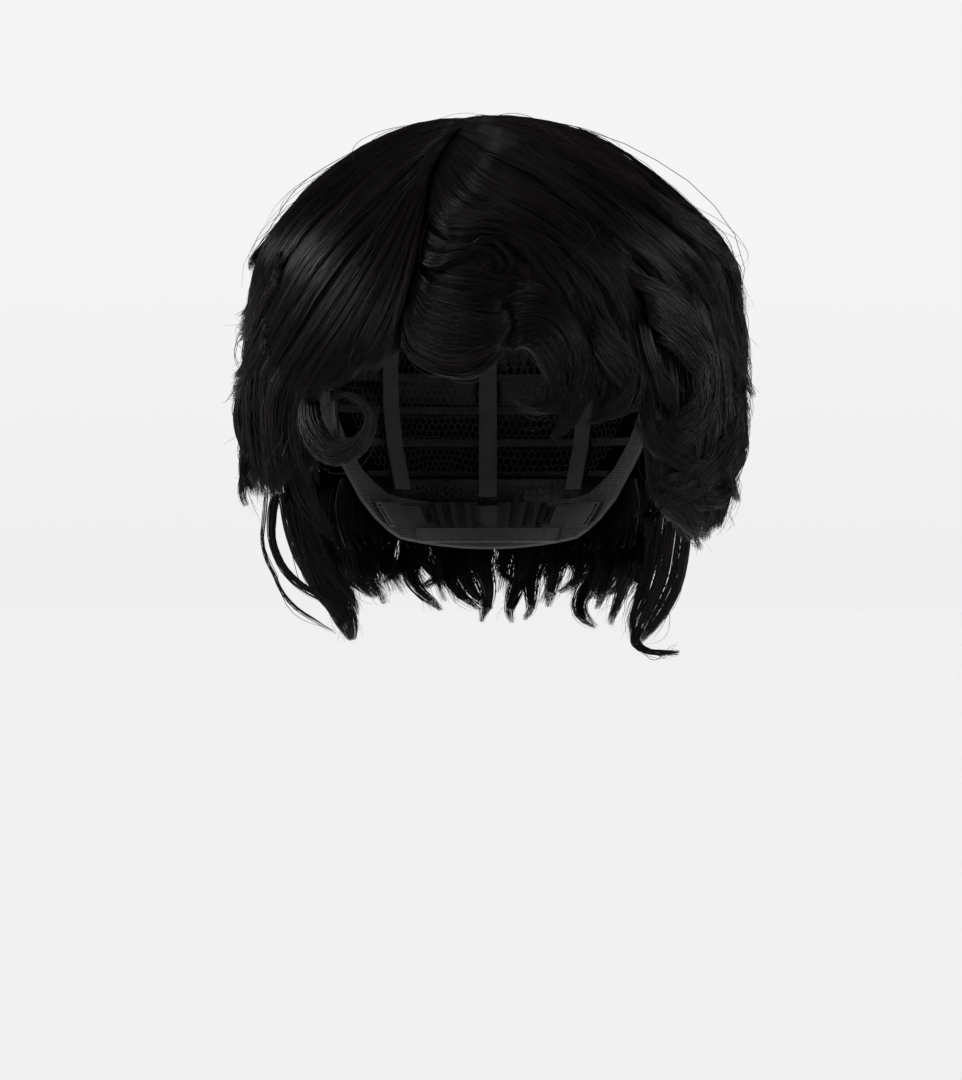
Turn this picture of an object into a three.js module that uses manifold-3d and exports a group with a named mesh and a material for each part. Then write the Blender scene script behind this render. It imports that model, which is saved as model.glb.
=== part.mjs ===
// A short wavy costume wig, built as it is sewn: a stretch net cap with its bands, ribbons and wefts, ear
// tabs with bendable stays, hook adjusters at the nape, and hair made up of separate locks.
//
// Millimetres. +X is the wearer's left, -Y is the face, +Z is up. The origin is the middle of the head, level
// with the hat line, where the head is widest. Angles are in degrees. Azimuth 0 is the face, 90 the wearer's
// left side.

import * as THREE from "three";
import { mergeVertices } from "three/addons/utils/BufferGeometryUtils.js";
import Module from "manifold-3d";

const wasm = await Module();
wasm.setup();

// ---------------------------------------------------------------- driving dimensions

const HEAD_HALF_WIDTH = 76;
const HEAD_FRONT = 94; // origin to forehead
const HEAD_BACK = 98; // origin to the back of the head
const HEAD_HEIGHT = 96; // origin to the crown
const TUCK_DEPTH = 117; // below the hat line, over which the head closes in towards the neck
const CAP_TUCK = 0.75; // share by which the cap has closed in at that depth
const HAIR_TUCK = 0.3; // the same for the hair, which hangs straighter

const GAP = 0.4; // left between pieces that touch
const NET_THICK = 1;
const BAND_THICK = 1.6;
const BAND_HEIGHT = 12;
const NAPE_BAND_HEIGHT = 18;
const FRONT_BAND_END = 60; // azimuth where the front band meets a side band
const SIDE_BAND_END = 138; // azimuth where a side band meets the nape band
const BAND_HEIGHTS = [
  [0, BAND_HEIGHT], [118, BAND_HEIGHT], [SIDE_BAND_END, NAPE_BAND_HEIGHT], [180, NAPE_BAND_HEIGHT],
];
const NET_TO_BAND = 1.2;
const STEEPNESS_REACH = 5; // degrees either side over which the rim's steepness is taken
const STEEPEST = 2.2; // most that a band is widened where the rim is steep
const EDGE_ROUNDNESS = 0.85; // length of the cap's edge against a circle of the head's height

const WEFT_HEIGHT = 3;
const WEFT_THICK = 1.2;
const WEFT_LEVELS = [56, 42, 28, 14, 0, -14, -28, -42];
const WEFT_START = 92; // azimuth behind the ear
const RIBBON_WIDTH = 8;
const RIBBON_THICK = 0.7;
const RIBBON_SINK = 1.1; // below the net's inner face, whose flat facets dip between its corners
const RIBBON_AZIMUTHS = [110, 145, 180, 215, 250];
const RIBBON_TOP = 32; // polar angle of its upper end
const RIBBON_END_GAP = 2; // degrees left above its band

const PARTING = { front: -66, back: 22, middle: -12, halfWidth: 11, thick: 0.6 };
const NAPE_PAD = { from: 146, to: 214, top: -66.4, bottom: -72.5, thick: 1.4 };
const EAR_TAB = { azimuth: 76, width: 22, height: 34, thick: 1.4, drop: 0.7, tipRadius: 7, waist: 0.42 };
const STAY = { wire: 1.2, halfWidth: 2.6, rootInset: 3, tipInset: 6 };

// The adjusters slide on a cone about an upright axis behind the origin, so they keep their shape as they turn.
const ADJUSTER_AXIS_Y = 28.4;
const ADJUSTER_HEIGHT = -60;
const ADJUSTER_RADIUS = 49.1;
const CONE_SLOPE = 0.65;
const TAPE_SPAN = [5, 29]; // this and the angles below are from the middle of the back
const LOOP_ANGLES = [9, 17, 25];
const LOOP_LENGTH = 3; // degrees
const LOOP_WALL_THICK = 0.8;
const TAPE_THICK = 0.8;
const TUNNEL_DEPTH = 1.6;
const TUNNEL_HALF_HEIGHT = 4.4;
const WALL_HALF_HEIGHT = TUNNEL_HALF_HEIGHT + 1;
const TONGUE_TIP = 22;
const TONGUE_THICK = 0.8;
const TONGUE_HALF_HEIGHT = 2.6;
const FRAME_SPAN = [30, 36];
const FRAME_BARS = [2.2, 1.6]; // degrees at its front and its back end
const STRAP_HALF_HEIGHT = 3.8;
const CASING_SPAN = [50, 68];
const CASING_WALL = 0.6;

const HAIR_START = 3.2; // lift at which the hair begins, clear of the wefts
const OVER_STAYS = 4.8; // the same where it covers the roots of the ear tabs' stays
const OVER_TABS = 9; // and where it leaves an ear tab room to bend outwards
const CROWNING = 0.14; // share by which a panel is thinner at its sides than down its middle
const TAPER_FROM = 0.6; // share of a panel's length where it starts to thin towards its tips
const TIP_SHARE = 0.6; // a panel's thickness where its tips hang free
const LEFT_FULLNESS = 1.12; // the hair stands off further on the wearer's left

// ---------------------------------------------------------------- the head's surface

const radians = THREE.MathUtils.degToRad;
const { lerp, clamp } = THREE.MathUtils;
const MM_PER_DEGREE = radians(HEAD_HEIGHT);

/** Share of the full width at height z. */
function spread(z, tuck) {
  return z >= 0 ? Math.sqrt(Math.max(0, 1 - (z / HEAD_HEIGHT) ** 2)) : 1 - tuck * (z / TUCK_DEPTH) ** 2;
}

/** Point on the head at an azimuth and height, moved outwards by lift. */
function ring(azimuth, z, lift = 0, tuck = HAIR_TUCK) {
  const a = radians(azimuth);
  const length = Math.cos(a) > 0 ? HEAD_FRONT : HEAD_BACK;
  const share = spread(z, tuck);
  const p = new THREE.Vector3(HEAD_HALF_WIDTH * share * Math.sin(a), -length * share * Math.cos(a), z);
  return p.addScaledVector(outward(p, tuck), lift);
}

/** Unit normal of the head's surface at a point on it. */
function outward(p, tuck = HAIR_TUCK) {
  const length = p.y < 0 ? HEAD_FRONT : HEAD_BACK;
  const closing = (-2 * tuck * p.z) / TUCK_DEPTH ** 2;
  const up = p.z >= 0 ? p.z / HEAD_HEIGHT ** 2 : -closing;
  const share = p.z >= 0 ? 1 : spread(p.z, tuck);
  return new THREE.Vector3(p.x / HEAD_HALF_WIDTH ** 2 / share, p.y / length ** 2 / share, up).normalize();
}

/** Height at a polar angle, 0 at the crown and 90 at the hat line, and even steps below that. */
function heightAt(polar) {
  return polar <= 90 ? HEAD_HEIGHT * Math.cos(radians(polar)) : -MM_PER_DEGREE * (polar - 90);
}

function polarAt(z) {
  return z >= 0 ? THREE.MathUtils.radToDeg(Math.acos(Math.min(1, z / HEAD_HEIGHT))) : 90 - z / MM_PER_DEGREE;
}

/** Smooth curve through [x, y] keys that never overshoots them. */
function through(keys, x) {
  const at = clamp(x, keys[0][0], keys[keys.length - 1][0]);
  const i = Math.min(
    keys.length - 2,
    keys.findLastIndex((k) => k[0] <= at),
  );
  const slope = (j) => (keys[j + 1][1] - keys[j][1]) / (keys[j + 1][0] - keys[j][0]);
  const tangent = (j) => {
    if (j === 0 || j === keys.length - 1) return 0;
    const [before, after] = [slope(j - 1), slope(j)];
    return before * after > 0 ? (2 * before * after) / (before + after) : 0;
  };
  const width = keys[i + 1][0] - keys[i][0];
  const t = (at - keys[i][0]) / width;
  const rise = t * t * (3 - 2 * t);
  const bend = width * (tangent(i) * t * (1 - t) ** 2 - tangent(i + 1) * t * t * (1 - t));
  return lerp(keys[i][1], keys[i + 1][1], rise) + bend;
}

/** Angle from the face, 0 to 180, the same on both sides. */
function turnedFrom(azimuth) {
  return Math.abs(THREE.MathUtils.euclideanModulo(azimuth + 180, 360) - 180);
}

/** The cap's edge as [angle from the face, height]: hairline, over the ear, down behind it, nape. */
const RIM = [
  [0, 47], [28, 45], [44, 35], [56, 12], [64, 0], [90, 0],
  [104, -8], [116, -32], [126, -58], [140, -70], [180, -74],
];

function rimPolar(azimuth) {
  return polarAt(through(RIM, turnedFrom(azimuth)));
}

// ---------------------------------------------------------------- closed solids

/** Collects faces, sharing the points that coincide. */
class Skin {
  points = [];
  faces = [];
  found = new Map();

  point(p) {
    const key = p.toArray().map((c) => Math.round(c * 1000)).join();
    if (!this.found.has(key)) {
      this.found.set(key, this.points.length);
      this.points.push(p);
    }
    return this.found.get(key);
  }

  quad(a, b, c, d) {
    for (const corners of [[a, b, c], [a, c, d]]) {
      if (new Set(corners).size === 3) this.faces.push(...corners);
    }
  }

  geometry() {
    const made = new THREE.BufferGeometry().setFromPoints(this.points);
    const [a, b, c] = [new THREE.Vector3(), new THREE.Vector3(), new THREE.Vector3()];
    let volume = 0;
    for (let i = 0; i < this.faces.length; i += 3) {
      a.copy(this.points[this.faces[i]]);
      b.copy(this.points[this.faces[i + 1]]);
      c.copy(this.points[this.faces[i + 2]]);
      volume += a.dot(b.cross(c));
    }
    made.setIndex(volume < 0 ? this.faces.toReversed() : this.faces);
    made.computeVertexNormals();
    return made;
  }
}

/** Solid between two surfaces, each a function of (u, v) from 0 to 1. A loop closes on itself along u. */
function slab(outer, inner, columns, rows, loop = false) {
  const skin = new Skin();
  const grids = [outer, inner].map((surface) =>
    Array.from({ length: rows + 1 }, (_, j) =>
      Array.from({ length: columns + 1 }, (_, i) =>
        skin.point(surface(loop && i === columns ? 0 : i / columns, j / rows)),
      ),
    ),
  );
  const [top, under] = grids;
  for (let j = 0; j < rows; j++) {
    for (let i = 0; i < columns; i++) {
      skin.quad(top[j][i], top[j][i + 1], top[j + 1][i + 1], top[j + 1][i]);
      skin.quad(under[j][i], under[j + 1][i], under[j + 1][i + 1], under[j][i + 1]);
    }
    if (loop) continue;
    skin.quad(top[j][0], top[j + 1][0], under[j + 1][0], under[j][0]);
    skin.quad(top[j][columns], under[j][columns], under[j + 1][columns], top[j + 1][columns]);
  }
  for (let i = 0; i < columns; i++) {
    skin.quad(top[0][i + 1], top[0][i], under[0][i], under[0][i + 1]);
    skin.quad(top[rows][i], top[rows][i + 1], under[rows][i + 1], under[rows][i]);
  }
  return skin.geometry();
}

/** Solid swept through a list of closed sections, each the same number of points, with flat ends. */
function loft(sections) {
  const skin = new Skin();
  const rings = sections.map((section) => section.map((p) => skin.point(p)));
  const sides = rings[0].length;
  for (let j = 0; j + 1 < rings.length; j++) {
    for (let i = 0; i < sides; i++) {
      const next = (i + 1) % sides;
      skin.quad(rings[j][i], rings[j][next], rings[j + 1][next], rings[j + 1][i]);
    }
  }
  for (const [end, turn] of [[0, 1], [rings.length - 1, -1]]) {
    const middle = new THREE.Vector3();
    sections[end].forEach((p) => middle.addScaledVector(p, 1 / sides));
    const centre = skin.point(middle);
    for (let i = 0; i < sides; i++) {
      const pair = [rings[end][i], rings[end][(i + 1) % sides]];
      if (turn < 0) pair.reverse();
      skin.quad(centre, pair[1], pair[0], centre);
    }
  }
  return skin.geometry();
}

/** A lock of hair: a lens-shaped section carried along points given as [x, y, z, width, thickness]. */
function lockOf(stations, steps = 10, sides = 8) {
  const path = new THREE.CatmullRomCurve3(stations.map(([x, y, z]) => new THREE.Vector3(x, y, z)));
  const size = new THREE.CatmullRomCurve3(stations.map((s) => new THREE.Vector3(s[3], s[4], 0)));
  const sections = Array.from({ length: steps + 1 }, (_, j) => {
    const t = j / steps;
    const centre = path.getPoint(t);
    const along = path.getTangent(t);
    const across = new THREE.Vector3().crossVectors(along, outward(centre)).normalize();
    const deep = new THREE.Vector3().crossVectors(across, along).normalize();
    const { x: width, y: thick } = size.getPoint(t);
    return Array.from({ length: sides }, (_, i) => {
      const a = (2 * Math.PI * i) / sides;
      return centre
        .clone()
        .addScaledVector(across, (width / 2) * Math.cos(a))
        .addScaledVector(deep, (thick / 2) * Math.sin(a));
    });
  });
  return loft(sections);
}

/** Bar whose [radius, height] section is turned about the adjusters' axis between two angles. */
function turnedBar(section, from, to, steps) {
  const sections = Array.from({ length: steps + 1 }, (_, j) => {
    const a = radians(lerp(from, to, j / steps));
    return section.map(([r, z]) => new THREE.Vector3(r * Math.sin(a), ADJUSTER_AXIS_Y + r * Math.cos(a), z));
  });
  return loft(sections);
}

/** Section of a bar that lies on the adjusters' cone, from one depth below its face to another. */
function onCone(nearFace, farFace, halfHeight) {
  const radius = (depth, z) => ADJUSTER_RADIUS - depth + CONE_SLOPE * (z - ADJUSTER_HEIGHT);
  const [low, high] = [ADJUSTER_HEIGHT - halfHeight, ADJUSTER_HEIGHT + halfHeight];
  return [
    [radius(nearFace, low), low],
    [radius(nearFace, high), high],
    [radius(farFace, high), high],
    [radius(farFace, low), low],
  ];
}

// ---------------------------------------------------------------- cutting and joining

function toSolid(geometry) {
  const bare = geometry.clone();
  for (const name of Object.keys(bare.attributes)) {
    if (name !== "position") bare.deleteAttribute(name);
  }
  const merged = mergeVertices(bare, 1e-3);
  return new wasm.Manifold(
    new wasm.Mesh({
      numProp: 3,
      vertProperties: new Float32Array(merged.attributes.position.array),
      triVerts: new Uint32Array(merged.index.array),
    }),
  );
}

function toGeometry(solid) {
  const mesh = solid.getMesh();
  const made = new THREE.BufferGeometry();
  made.setAttribute("position", new THREE.BufferAttribute(mesh.vertProperties, 3));
  made.setIndex(new THREE.BufferAttribute(mesh.triVerts, 1));
  made.computeVertexNormals();
  return made;
}

// ---------------------------------------------------------------- materials and the group

const FINISHES = {
  hair_fibre: { color: 0x120d0e, roughness: 0.42, metalness: 0 },
  cap_net: { color: 0x3c3838, roughness: 0.8, metalness: 0 },
  elastic: { color: 0x464242, roughness: 0.7, metalness: 0 },
  weft_tape: { color: 0x343131, roughness: 0.75, metalness: 0 },
  velvet: { color: 0x2c272a, roughness: 0.95, metalness: 0 },
  skin_top: { color: 0x7d7068, roughness: 0.6, metalness: 0 },
  steel_wire: { color: 0x8f9194, roughness: 0.35, metalness: 1 },
  hook_plastic: { color: 0x1a1a1c, roughness: 0.35, metalness: 0 },
};
const wig = new THREE.Group();

function add(name, finish, geometry) {
  const mesh = new THREE.Mesh(geometry, new THREE.MeshStandardMaterial(FINISHES[finish]));
  mesh.name = name;
  wig.add(mesh);
  return geometry;
}

/** Adds a piece on both sides of the head, with sign 1 for the wearer's left and -1 for the right. */
function addPair(name, finish, build) {
  for (const [side, sign] of [["left", 1], ["right", -1]]) add(`${name}_${side}`, finish, build(sign));
}

// ---------------------------------------------------------------- the cap

/** Strip of the cap between two azimuths and two polar angles, each edge a function of azimuth. */
function capStrip(from, to, upper, lower, [low, high], columns, rows = 1) {
  const surface = (lift) => (u, v) => {
    const azimuth = lerp(from, to, u);
    return ring(azimuth, heightAt(lerp(upper(azimuth), lower(azimuth), v)), lift, CAP_TUCK);
  };
  return slab(surface(high), surface(low), columns, rows);
}

/** Polar angle of the bands' upper edge, further from the rim where that is steep, to keep an even width. */
function bandTop(azimuth) {
  const [near, far] = [azimuth - STEEPNESS_REACH, azimuth + STEEPNESS_REACH];
  const slope = (rimPolar(far) - rimPolar(near)) / (2 * STEEPNESS_REACH * EDGE_ROUNDNESS);
  const height = through(BAND_HEIGHTS, turnedFrom(azimuth));
  return rimPolar(azimuth) - (height * Math.min(STEEPEST, Math.hypot(1, slope))) / MM_PER_DEGREE;
}

function capNet() {
  const edge = (azimuth) => bandTop(azimuth) - NET_TO_BAND / MM_PER_DEGREE;
  const surface = (lift) => (u, v) => ring(360 * u, heightAt(edge(360 * u) * v), lift, CAP_TUCK);
  return slab(surface(NET_THICK), surface(0), 60, 10, true);
}

function band(from, to, columns) {
  return capStrip(from, to, bandTop, rimPolar, [0, BAND_THICK], columns, 2);
}

/** Weft track: a stitched strip round the back, as far forward as the net reaches down to it. */
function weft(z) {
  let start = WEFT_START;
  while (bandTop(start) < polarAt(z - WEFT_HEIGHT)) start += 1;
  const half = WEFT_HEIGHT / 2 / MM_PER_DEGREE;
  const [upper, lower] = [() => polarAt(z) - half, () => polarAt(z) + half];
  const low = NET_THICK + GAP;
  return capStrip(start, 360 - start, upper, lower, [low, low + WEFT_THICK], 22);
}

/** Elastic ribbon inside the net, from near the crown down to its band. */
function ribbon(azimuth) {
  const middle = (v) => lerp(RIBBON_TOP, bandTop(azimuth) - RIBBON_END_GAP, v);
  const surface = (lift) => (u, v) => {
    const z = heightAt(middle(v));
    const girth = HEAD_HALF_WIDTH * Math.max(0.3, spread(z, CAP_TUCK));
    const turn = THREE.MathUtils.radToDeg(RIBBON_WIDTH / girth) * (u - 0.5);
    return ring(azimuth + turn, z, lift, CAP_TUCK);
  };
  return slab(surface(-RIBBON_SINK), surface(-RIBBON_SINK - RIBBON_THICK), 2, 8);
}

/** Skin-coloured strip under the parting, on top of the net. */
function partingStrip() {
  const { front, back, middle, halfWidth, thick } = PARTING;
  const surface = (lift) => (u, v) => {
    const [x, y] = [middle + halfWidth * (2 * u - 1), lerp(front, back, v)];
    const length = y < 0 ? HEAD_FRONT : HEAD_BACK;
    const z = HEAD_HEIGHT * Math.sqrt(1 - (x / HEAD_HALF_WIDTH) ** 2 - (y / length) ** 2);
    const p = new THREE.Vector3(x, y, z);
    return p.addScaledVector(outward(p), lift);
  };
  const low = NET_THICK + GAP;
  return slab(surface(low + thick), surface(low), 4, 9);
}

/** Soft pad inside the nape band, against the skin. */
function napePad() {
  const { from, to, top, bottom, thick } = NAPE_PAD;
  const [upper, lower] = [() => polarAt(top), () => polarAt(bottom)];
  return capStrip(from, to, upper, lower, [-GAP - thick, -GAP], 12);
}

// ---------------------------------------------------------------- ear tabs

/** Frame of an ear tab: its hinge line at the cap's edge, with x along the edge, y outwards and z up. */
function earTabFrame(sign) {
  const frame = new THREE.Group();
  const root = ring(sign * EAR_TAB.azimuth, -EAR_TAB.drop, EAR_TAB.thick / 2 + 0.1, CAP_TUCK);
  frame.position.copy(root);
  frame.rotation.z = -Math.atan2(root.x / HEAD_HALF_WIDTH ** 2, root.y / HEAD_FRONT ** 2);
  return frame;
}

/** Tongue-shaped tab, flat on the side that lies on the temple. */
function earTab(sign) {
  const { width, height, thick, tipRadius, waist } = EAR_TAB;
  const outline = new THREE.Shape();
  outline.moveTo(-width / 2, 0);
  outline.lineTo(width / 2, 0);
  outline.quadraticCurveTo(width * waist, -height / 2, tipRadius, -height + tipRadius);
  outline.absarc(0, -height + tipRadius, tipRadius, 0, -Math.PI, true);
  outline.quadraticCurveTo(-width * waist, -height / 2, -width / 2, 0);
  const plate = new THREE.ExtrudeGeometry(outline, { depth: thick, bevelEnabled: false, curveSegments: 8 });
  plate.translate(0, 0, -thick / 2).rotateX(Math.PI / 2);
  return placed(plate, earTabFrame(sign));
}

/** Bendable wire on the tab's outer side, a long hairpin with a round end. */
function earStay(sign) {
  const { height, thick } = EAR_TAB;
  const half = STAY.halfWidth;
  const [top, low] = [-STAY.rootInset, -height + STAY.tipInset];
  const away = thick / 2 + GAP + STAY.wire / 2;
  const path = new THREE.CurvePath();
  const turn = new THREE.CatmullRomCurve3(
    [180, 135, 90, 45, 0].map((a) => {
      const [c, s] = [Math.cos(radians(a)), Math.sin(radians(a))];
      return new THREE.Vector3(half * c, away, low - half * s);
    }),
  );
  path.add(new THREE.LineCurve3(new THREE.Vector3(-half, away, top), new THREE.Vector3(-half, away, low)));
  path.add(turn);
  path.add(new THREE.LineCurve3(new THREE.Vector3(half, away, low), new THREE.Vector3(half, away, top)));
  const wire = new THREE.Shape().absarc(0, 0, STAY.wire / 2, 0, 2 * Math.PI);
  const steps = { extrudePath: path, steps: 22, bevelEnabled: false, curveSegments: 4 };
  return placed(new THREE.ExtrudeGeometry(wire, steps), earTabFrame(sign));
}

/** A geometry moved into the wig by a frame's position and rotation. */
function placed(geometry, frame) {
  frame.updateMatrix();
  return geometry.applyMatrix4(frame.matrix);
}

// ---------------------------------------------------------------- adjusters

const TUNNEL_FLOOR = TAPE_THICK + TUNNEL_DEPTH;
const TUNNEL = onCone(TAPE_THICK, TUNNEL_FLOOR, TUNNEL_HALF_HEIGHT);
const TONGUE_FACE = TAPE_THICK + (TUNNEL_DEPTH - TONGUE_THICK) / 2;
const TONGUE = onCone(TONGUE_FACE, TONGUE_FACE + TONGUE_THICK, TONGUE_HALF_HEIGHT);
const STRAP = onCone(TONGUE_FACE, TONGUE_FACE + TONGUE_THICK, STRAP_HALF_HEIGHT);

/** Bar over a span of angles, made longer at both ends by extra degrees. */
function barOver([from, to], sign, section, steps, extra = 0) {
  return turnedBar(section, sign * (from - extra), sign * (to + extra), steps);
}

/** Tape with small sewn loops that the hook slides through. */
function loopTape(sign) {
  const tape = barOver(TAPE_SPAN, sign, onCone(0, TAPE_THICK, WALL_HALF_HEIGHT), 12);
  const wall = onCone(0, TUNNEL_FLOOR + LOOP_WALL_THICK, WALL_HALF_HEIGHT);
  const loops = LOOP_ANGLES.map((angle) => barOver([angle, angle + LOOP_LENGTH], sign, wall, 2));
  const whole = loops.reduce((solid, loop) => solid.add(toSolid(loop)), toSolid(tape));
  return toGeometry(whole.subtract(toSolid(barOver(TAPE_SPAN, sign, TUNNEL, 13, 1))));
}

/** Plastic hook: a thin tongue, and a slim frame that the elastic is sewn round. */
function adjusterHook(sign) {
  const [from, to] = FRAME_SPAN;
  const slack = GAP / 2;
  const tongue = barOver([TONGUE_TIP, from + 0.5], sign, TONGUE, 5);
  const section = onCone(TAPE_THICK + slack, TUNNEL_FLOOR - slack, STRAP_HALF_HEIGHT);
  const frame = barOver(FRAME_SPAN, sign, section, 3);
  const hole = [from + FRAME_BARS[0], to - FRAME_BARS[1]];
  const window = barOver(hole, sign, onCone(0, 2 * TUNNEL_FLOOR, TONGUE_HALF_HEIGHT), 2);
  return toGeometry(toSolid(tongue).add(toSolid(frame)).subtract(toSolid(window)));
}

/** Elastic strap from the hook's frame back into its casing. */
function adjusterStrap(sign) {
  return barOver([FRAME_SPAN[1] + 0.5, CASING_SPAN[1] - 1], sign, STRAP, 12);
}

/** Casing on the side of the nape that the strap slides out of. */
function strapCasing(sign) {
  const section = onCone(TAPE_THICK - CASING_WALL, TUNNEL_FLOOR + CASING_WALL, WALL_HALF_HEIGHT);
  const sleeve = barOver(CASING_SPAN, sign, section, 6);
  return toGeometry(toSolid(sleeve).subtract(toSolid(barOver(CASING_SPAN, sign, TUNNEL, 7, 1))));
}

// ---------------------------------------------------------------- the hair

/** How far the hair stands off the head: [height, lift] at the face, the side and the back. */
const FRONT_LIFT = [[-120, 14], [-40, 15], [20, 17], [50, 17], [78, 14], [96, 11]];
const SIDE_LIFT = [[-120, 12], [-74, 23], [-48, 28], [-10, 29], [30, 28], [52, 25], [78, 17], [96, 11]];
const BACK_LIFT = [[-120, 8], [-90, 15], [-60, 21], [-20, 25], [30, 24], [60, 19], [96, 11]];

function envelope(azimuth, z) {
  const facing = Math.cos(radians(azimuth));
  const end = facing > 0 ? FRONT_LIFT : BACK_LIFT;
  const side = through(SIDE_LIFT, z) * (Math.sin(radians(azimuth)) > 0 ? LEFT_FULLNESS : 1);
  return lerp(side, through(end, z), facing * facing);
}

/** Panel of hair between two edges, crowned across its width. Edges are [azimuth, height] from root to tip. */
function panel({ right, left, start = HAIR_START, tip = 1, columns = 6, rows = 6 }) {
  const edge = (keys) => new THREE.SplineCurve(keys.map(([a, z]) => new THREE.Vector2(a, polarAt(z))));
  const [one, other] = [edge(right), edge(left)];
  const place = (u, v, share) => {
    const [a, b] = [one.getPoint(v), other.getPoint(v)];
    const azimuth = lerp(a.x, b.x, u);
    const z = heightAt(lerp(a.y, b.y, u));
    const full = envelope(azimuth, z);
    const girth = HEAD_HALF_WIDTH * Math.max(0.2, spread(z, HAIR_TUCK));
    const inset = THREE.MathUtils.radToDeg(GAP / girth) * (1 - 2 * u) * Math.sign(b.x - a.x);
    const crown = 1 - CROWNING * (2 * u - 1) ** 2;
    const taper = lerp(1, tip, clamp((v - TAPER_FROM) / (1 - TAPER_FROM), 0, 1));
    return ring(azimuth + inset, z, lerp(start, full * crown, share * taper));
  };
  return slab(
    (u, v) => place(u, v, 1),
    (u, v) => place(u, v, 0),
    columns,
    rows,
  );
}

const CROWN_PANELS = {
  crown_front_right: {
    right: [[-94, 95.7], [-94, 76], [-94, 52]],
    left: [[-15, 95.8], [-13, 78], [-24, 52]],
  },
  crown_front_left: {
    right: [[-13, 95.8], [-11, 78], [-22, 52]],
    left: [[94, 95.7], [94, 76], [94, 52]],
  },
  crown_back_left: {
    right: [[96, 95.7], [96, 76], [96, 52]],
    left: [[179, 95.7], [179, 76], [179, 52]],
  },
  crown_back_right: {
    right: [[181, 95.7], [181, 76], [181, 52]],
    left: [[264, 95.7], [264, 76], [264, 52]],
  },
};
const UPPER_PANELS = {
  side_upper_right: {
    right: [[-118, 50.6], [-116, 26], [-114, 0]],
    left: [[-61.5, 50.6], [-63.5, 20], [-69, -8]],
  },
  side_upper_left: {
    right: [[61.5, 50.6], [61.5, 20], [63, -8]],
    left: [[118, 50.6], [116, 26], [114, 0]],
  },
  back_upper_left: {
    right: [[119.5, 50.6], [117.5, 26], [115.5, 0]],
    left: [[179, 50.6], [179, 26], [179, 0]],
  },
  back_upper_right: {
    right: [[181, 50.6], [181, 26], [181, 0]],
    left: [[240.5, 50.6], [242.5, 26], [244.5, 0]],
  },
};
const HEM_PANELS = {
  fringe_right: {
    right: [[-60, 50.6], [-62, 20], [-66, -10]],
    left: [[-24, 50.6], [-30, 26], [-46, 0]],
  },
  fringe_centre: {
    right: [[-22.4, 50.6], [-29, 27], [-26, 6]],
    left: [[12, 50.6], [11, 24], [6, 0]],
  },
  fringe_left: {
    right: [[13.5, 50.6], [13, 26], [22, -15]],
    left: [[60, 50.6], [60, 20], [56, -18]],
  },
  side_lower_right: {
    right: [[-122, -3], [-120, -30], [-116, -58]],
    left: [[-80, -11], [-82, -34], [-90, -60]],
  },
  side_lower_left: {
    right: [[80, -11], [82, -36], [88, -66]],
    left: [[122, -3], [120, -34], [116, -72]],
  },
  back_lower_left: {
    right: [[123.5, -3], [122, -32], [124, -66]],
    left: [[179, -2], [179, -32], [179, -66]],
  },
  back_lower_right: {
    right: [[181, -2], [181, -32], [181, -66]],
    left: [[236.5, -3], [238, -32], [236, -66]],
  },
  nape_centre: {
    right: [[146, -69], [148, -88], [154, -106]],
    left: [[214, -69], [212, -88], [206, -106]],
  },
};
const PANEL_STARTS = {
  side_upper_right: OVER_STAYS,
  side_upper_left: OVER_STAYS,
  side_lower_right: OVER_TABS,
  side_lower_left: OVER_TABS,
};

function addPanels(panels, shape) {
  for (const [name, edges] of Object.entries(panels)) {
    add(name, "hair_fibre", panel({ ...edges, ...shape, start: PANEL_STARTS[name] }));
  }
}

addPanels(CROWN_PANELS, { columns: 9 });
addPanels(UPPER_PANELS, {});
addPanels(HEM_PANELS, { tip: TIP_SHARE });

/** Locks that hang free or stand off the rest, as [x, y, z, width, thickness] from root to tip. */
const LOCKS = {
  ring_curl_right: [
    [-64, -72, -18, 9, 7], [-66, -76, -28, 11, 8], [-60, -83, -38, 12, 8], [-50, -88, -37, 11, 7],
    [-45, -90, -27, 9, 6], [-50, -88, -17, 6, 5], [-57, -84, -17, 3, 3],
  ],
  sideburn_lock_right: [
    [-78, -33, -13, 9, 5], [-79, -34, -30, 12, 7],
    [-76, -37, -50, 9, 6], [-66, -42, -70, 2, 2],
  ],
  sideburn_lock_left: [
    [78, -33, -13, 9, 5], [76, -36, -30, 10, 5],
    [70, -42, -50, 7, 4], [66, -46, -66, 2, 2],
  ],
  nape_lock_right: [
    [-77, 36, -67, 14, 10], [-76, 38, -82, 20, 14],
    [-68, 42, -98, 16, 10], [-60, 44, -114, 6, 5],
  ],
  nape_lock_left: [
    [77, 36, -81, 14, 10], [73, 38, -92, 18, 12],
    [67, 42, -104, 13, 9], [72, 42, -118, 3, 3],
  ],
  fringe_tip_left: [
    [34, -92, -22, 16, 7], [30, -94, -26, 12, 6],
    [21, -98, -27, 6, 4], [12, -100, -17, 2, 2],
  ],
};

for (const [name, stations] of Object.entries(LOCKS)) add(name, "hair_fibre", lockOf(stations));

// ---------------------------------------------------------------- the assembly

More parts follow.
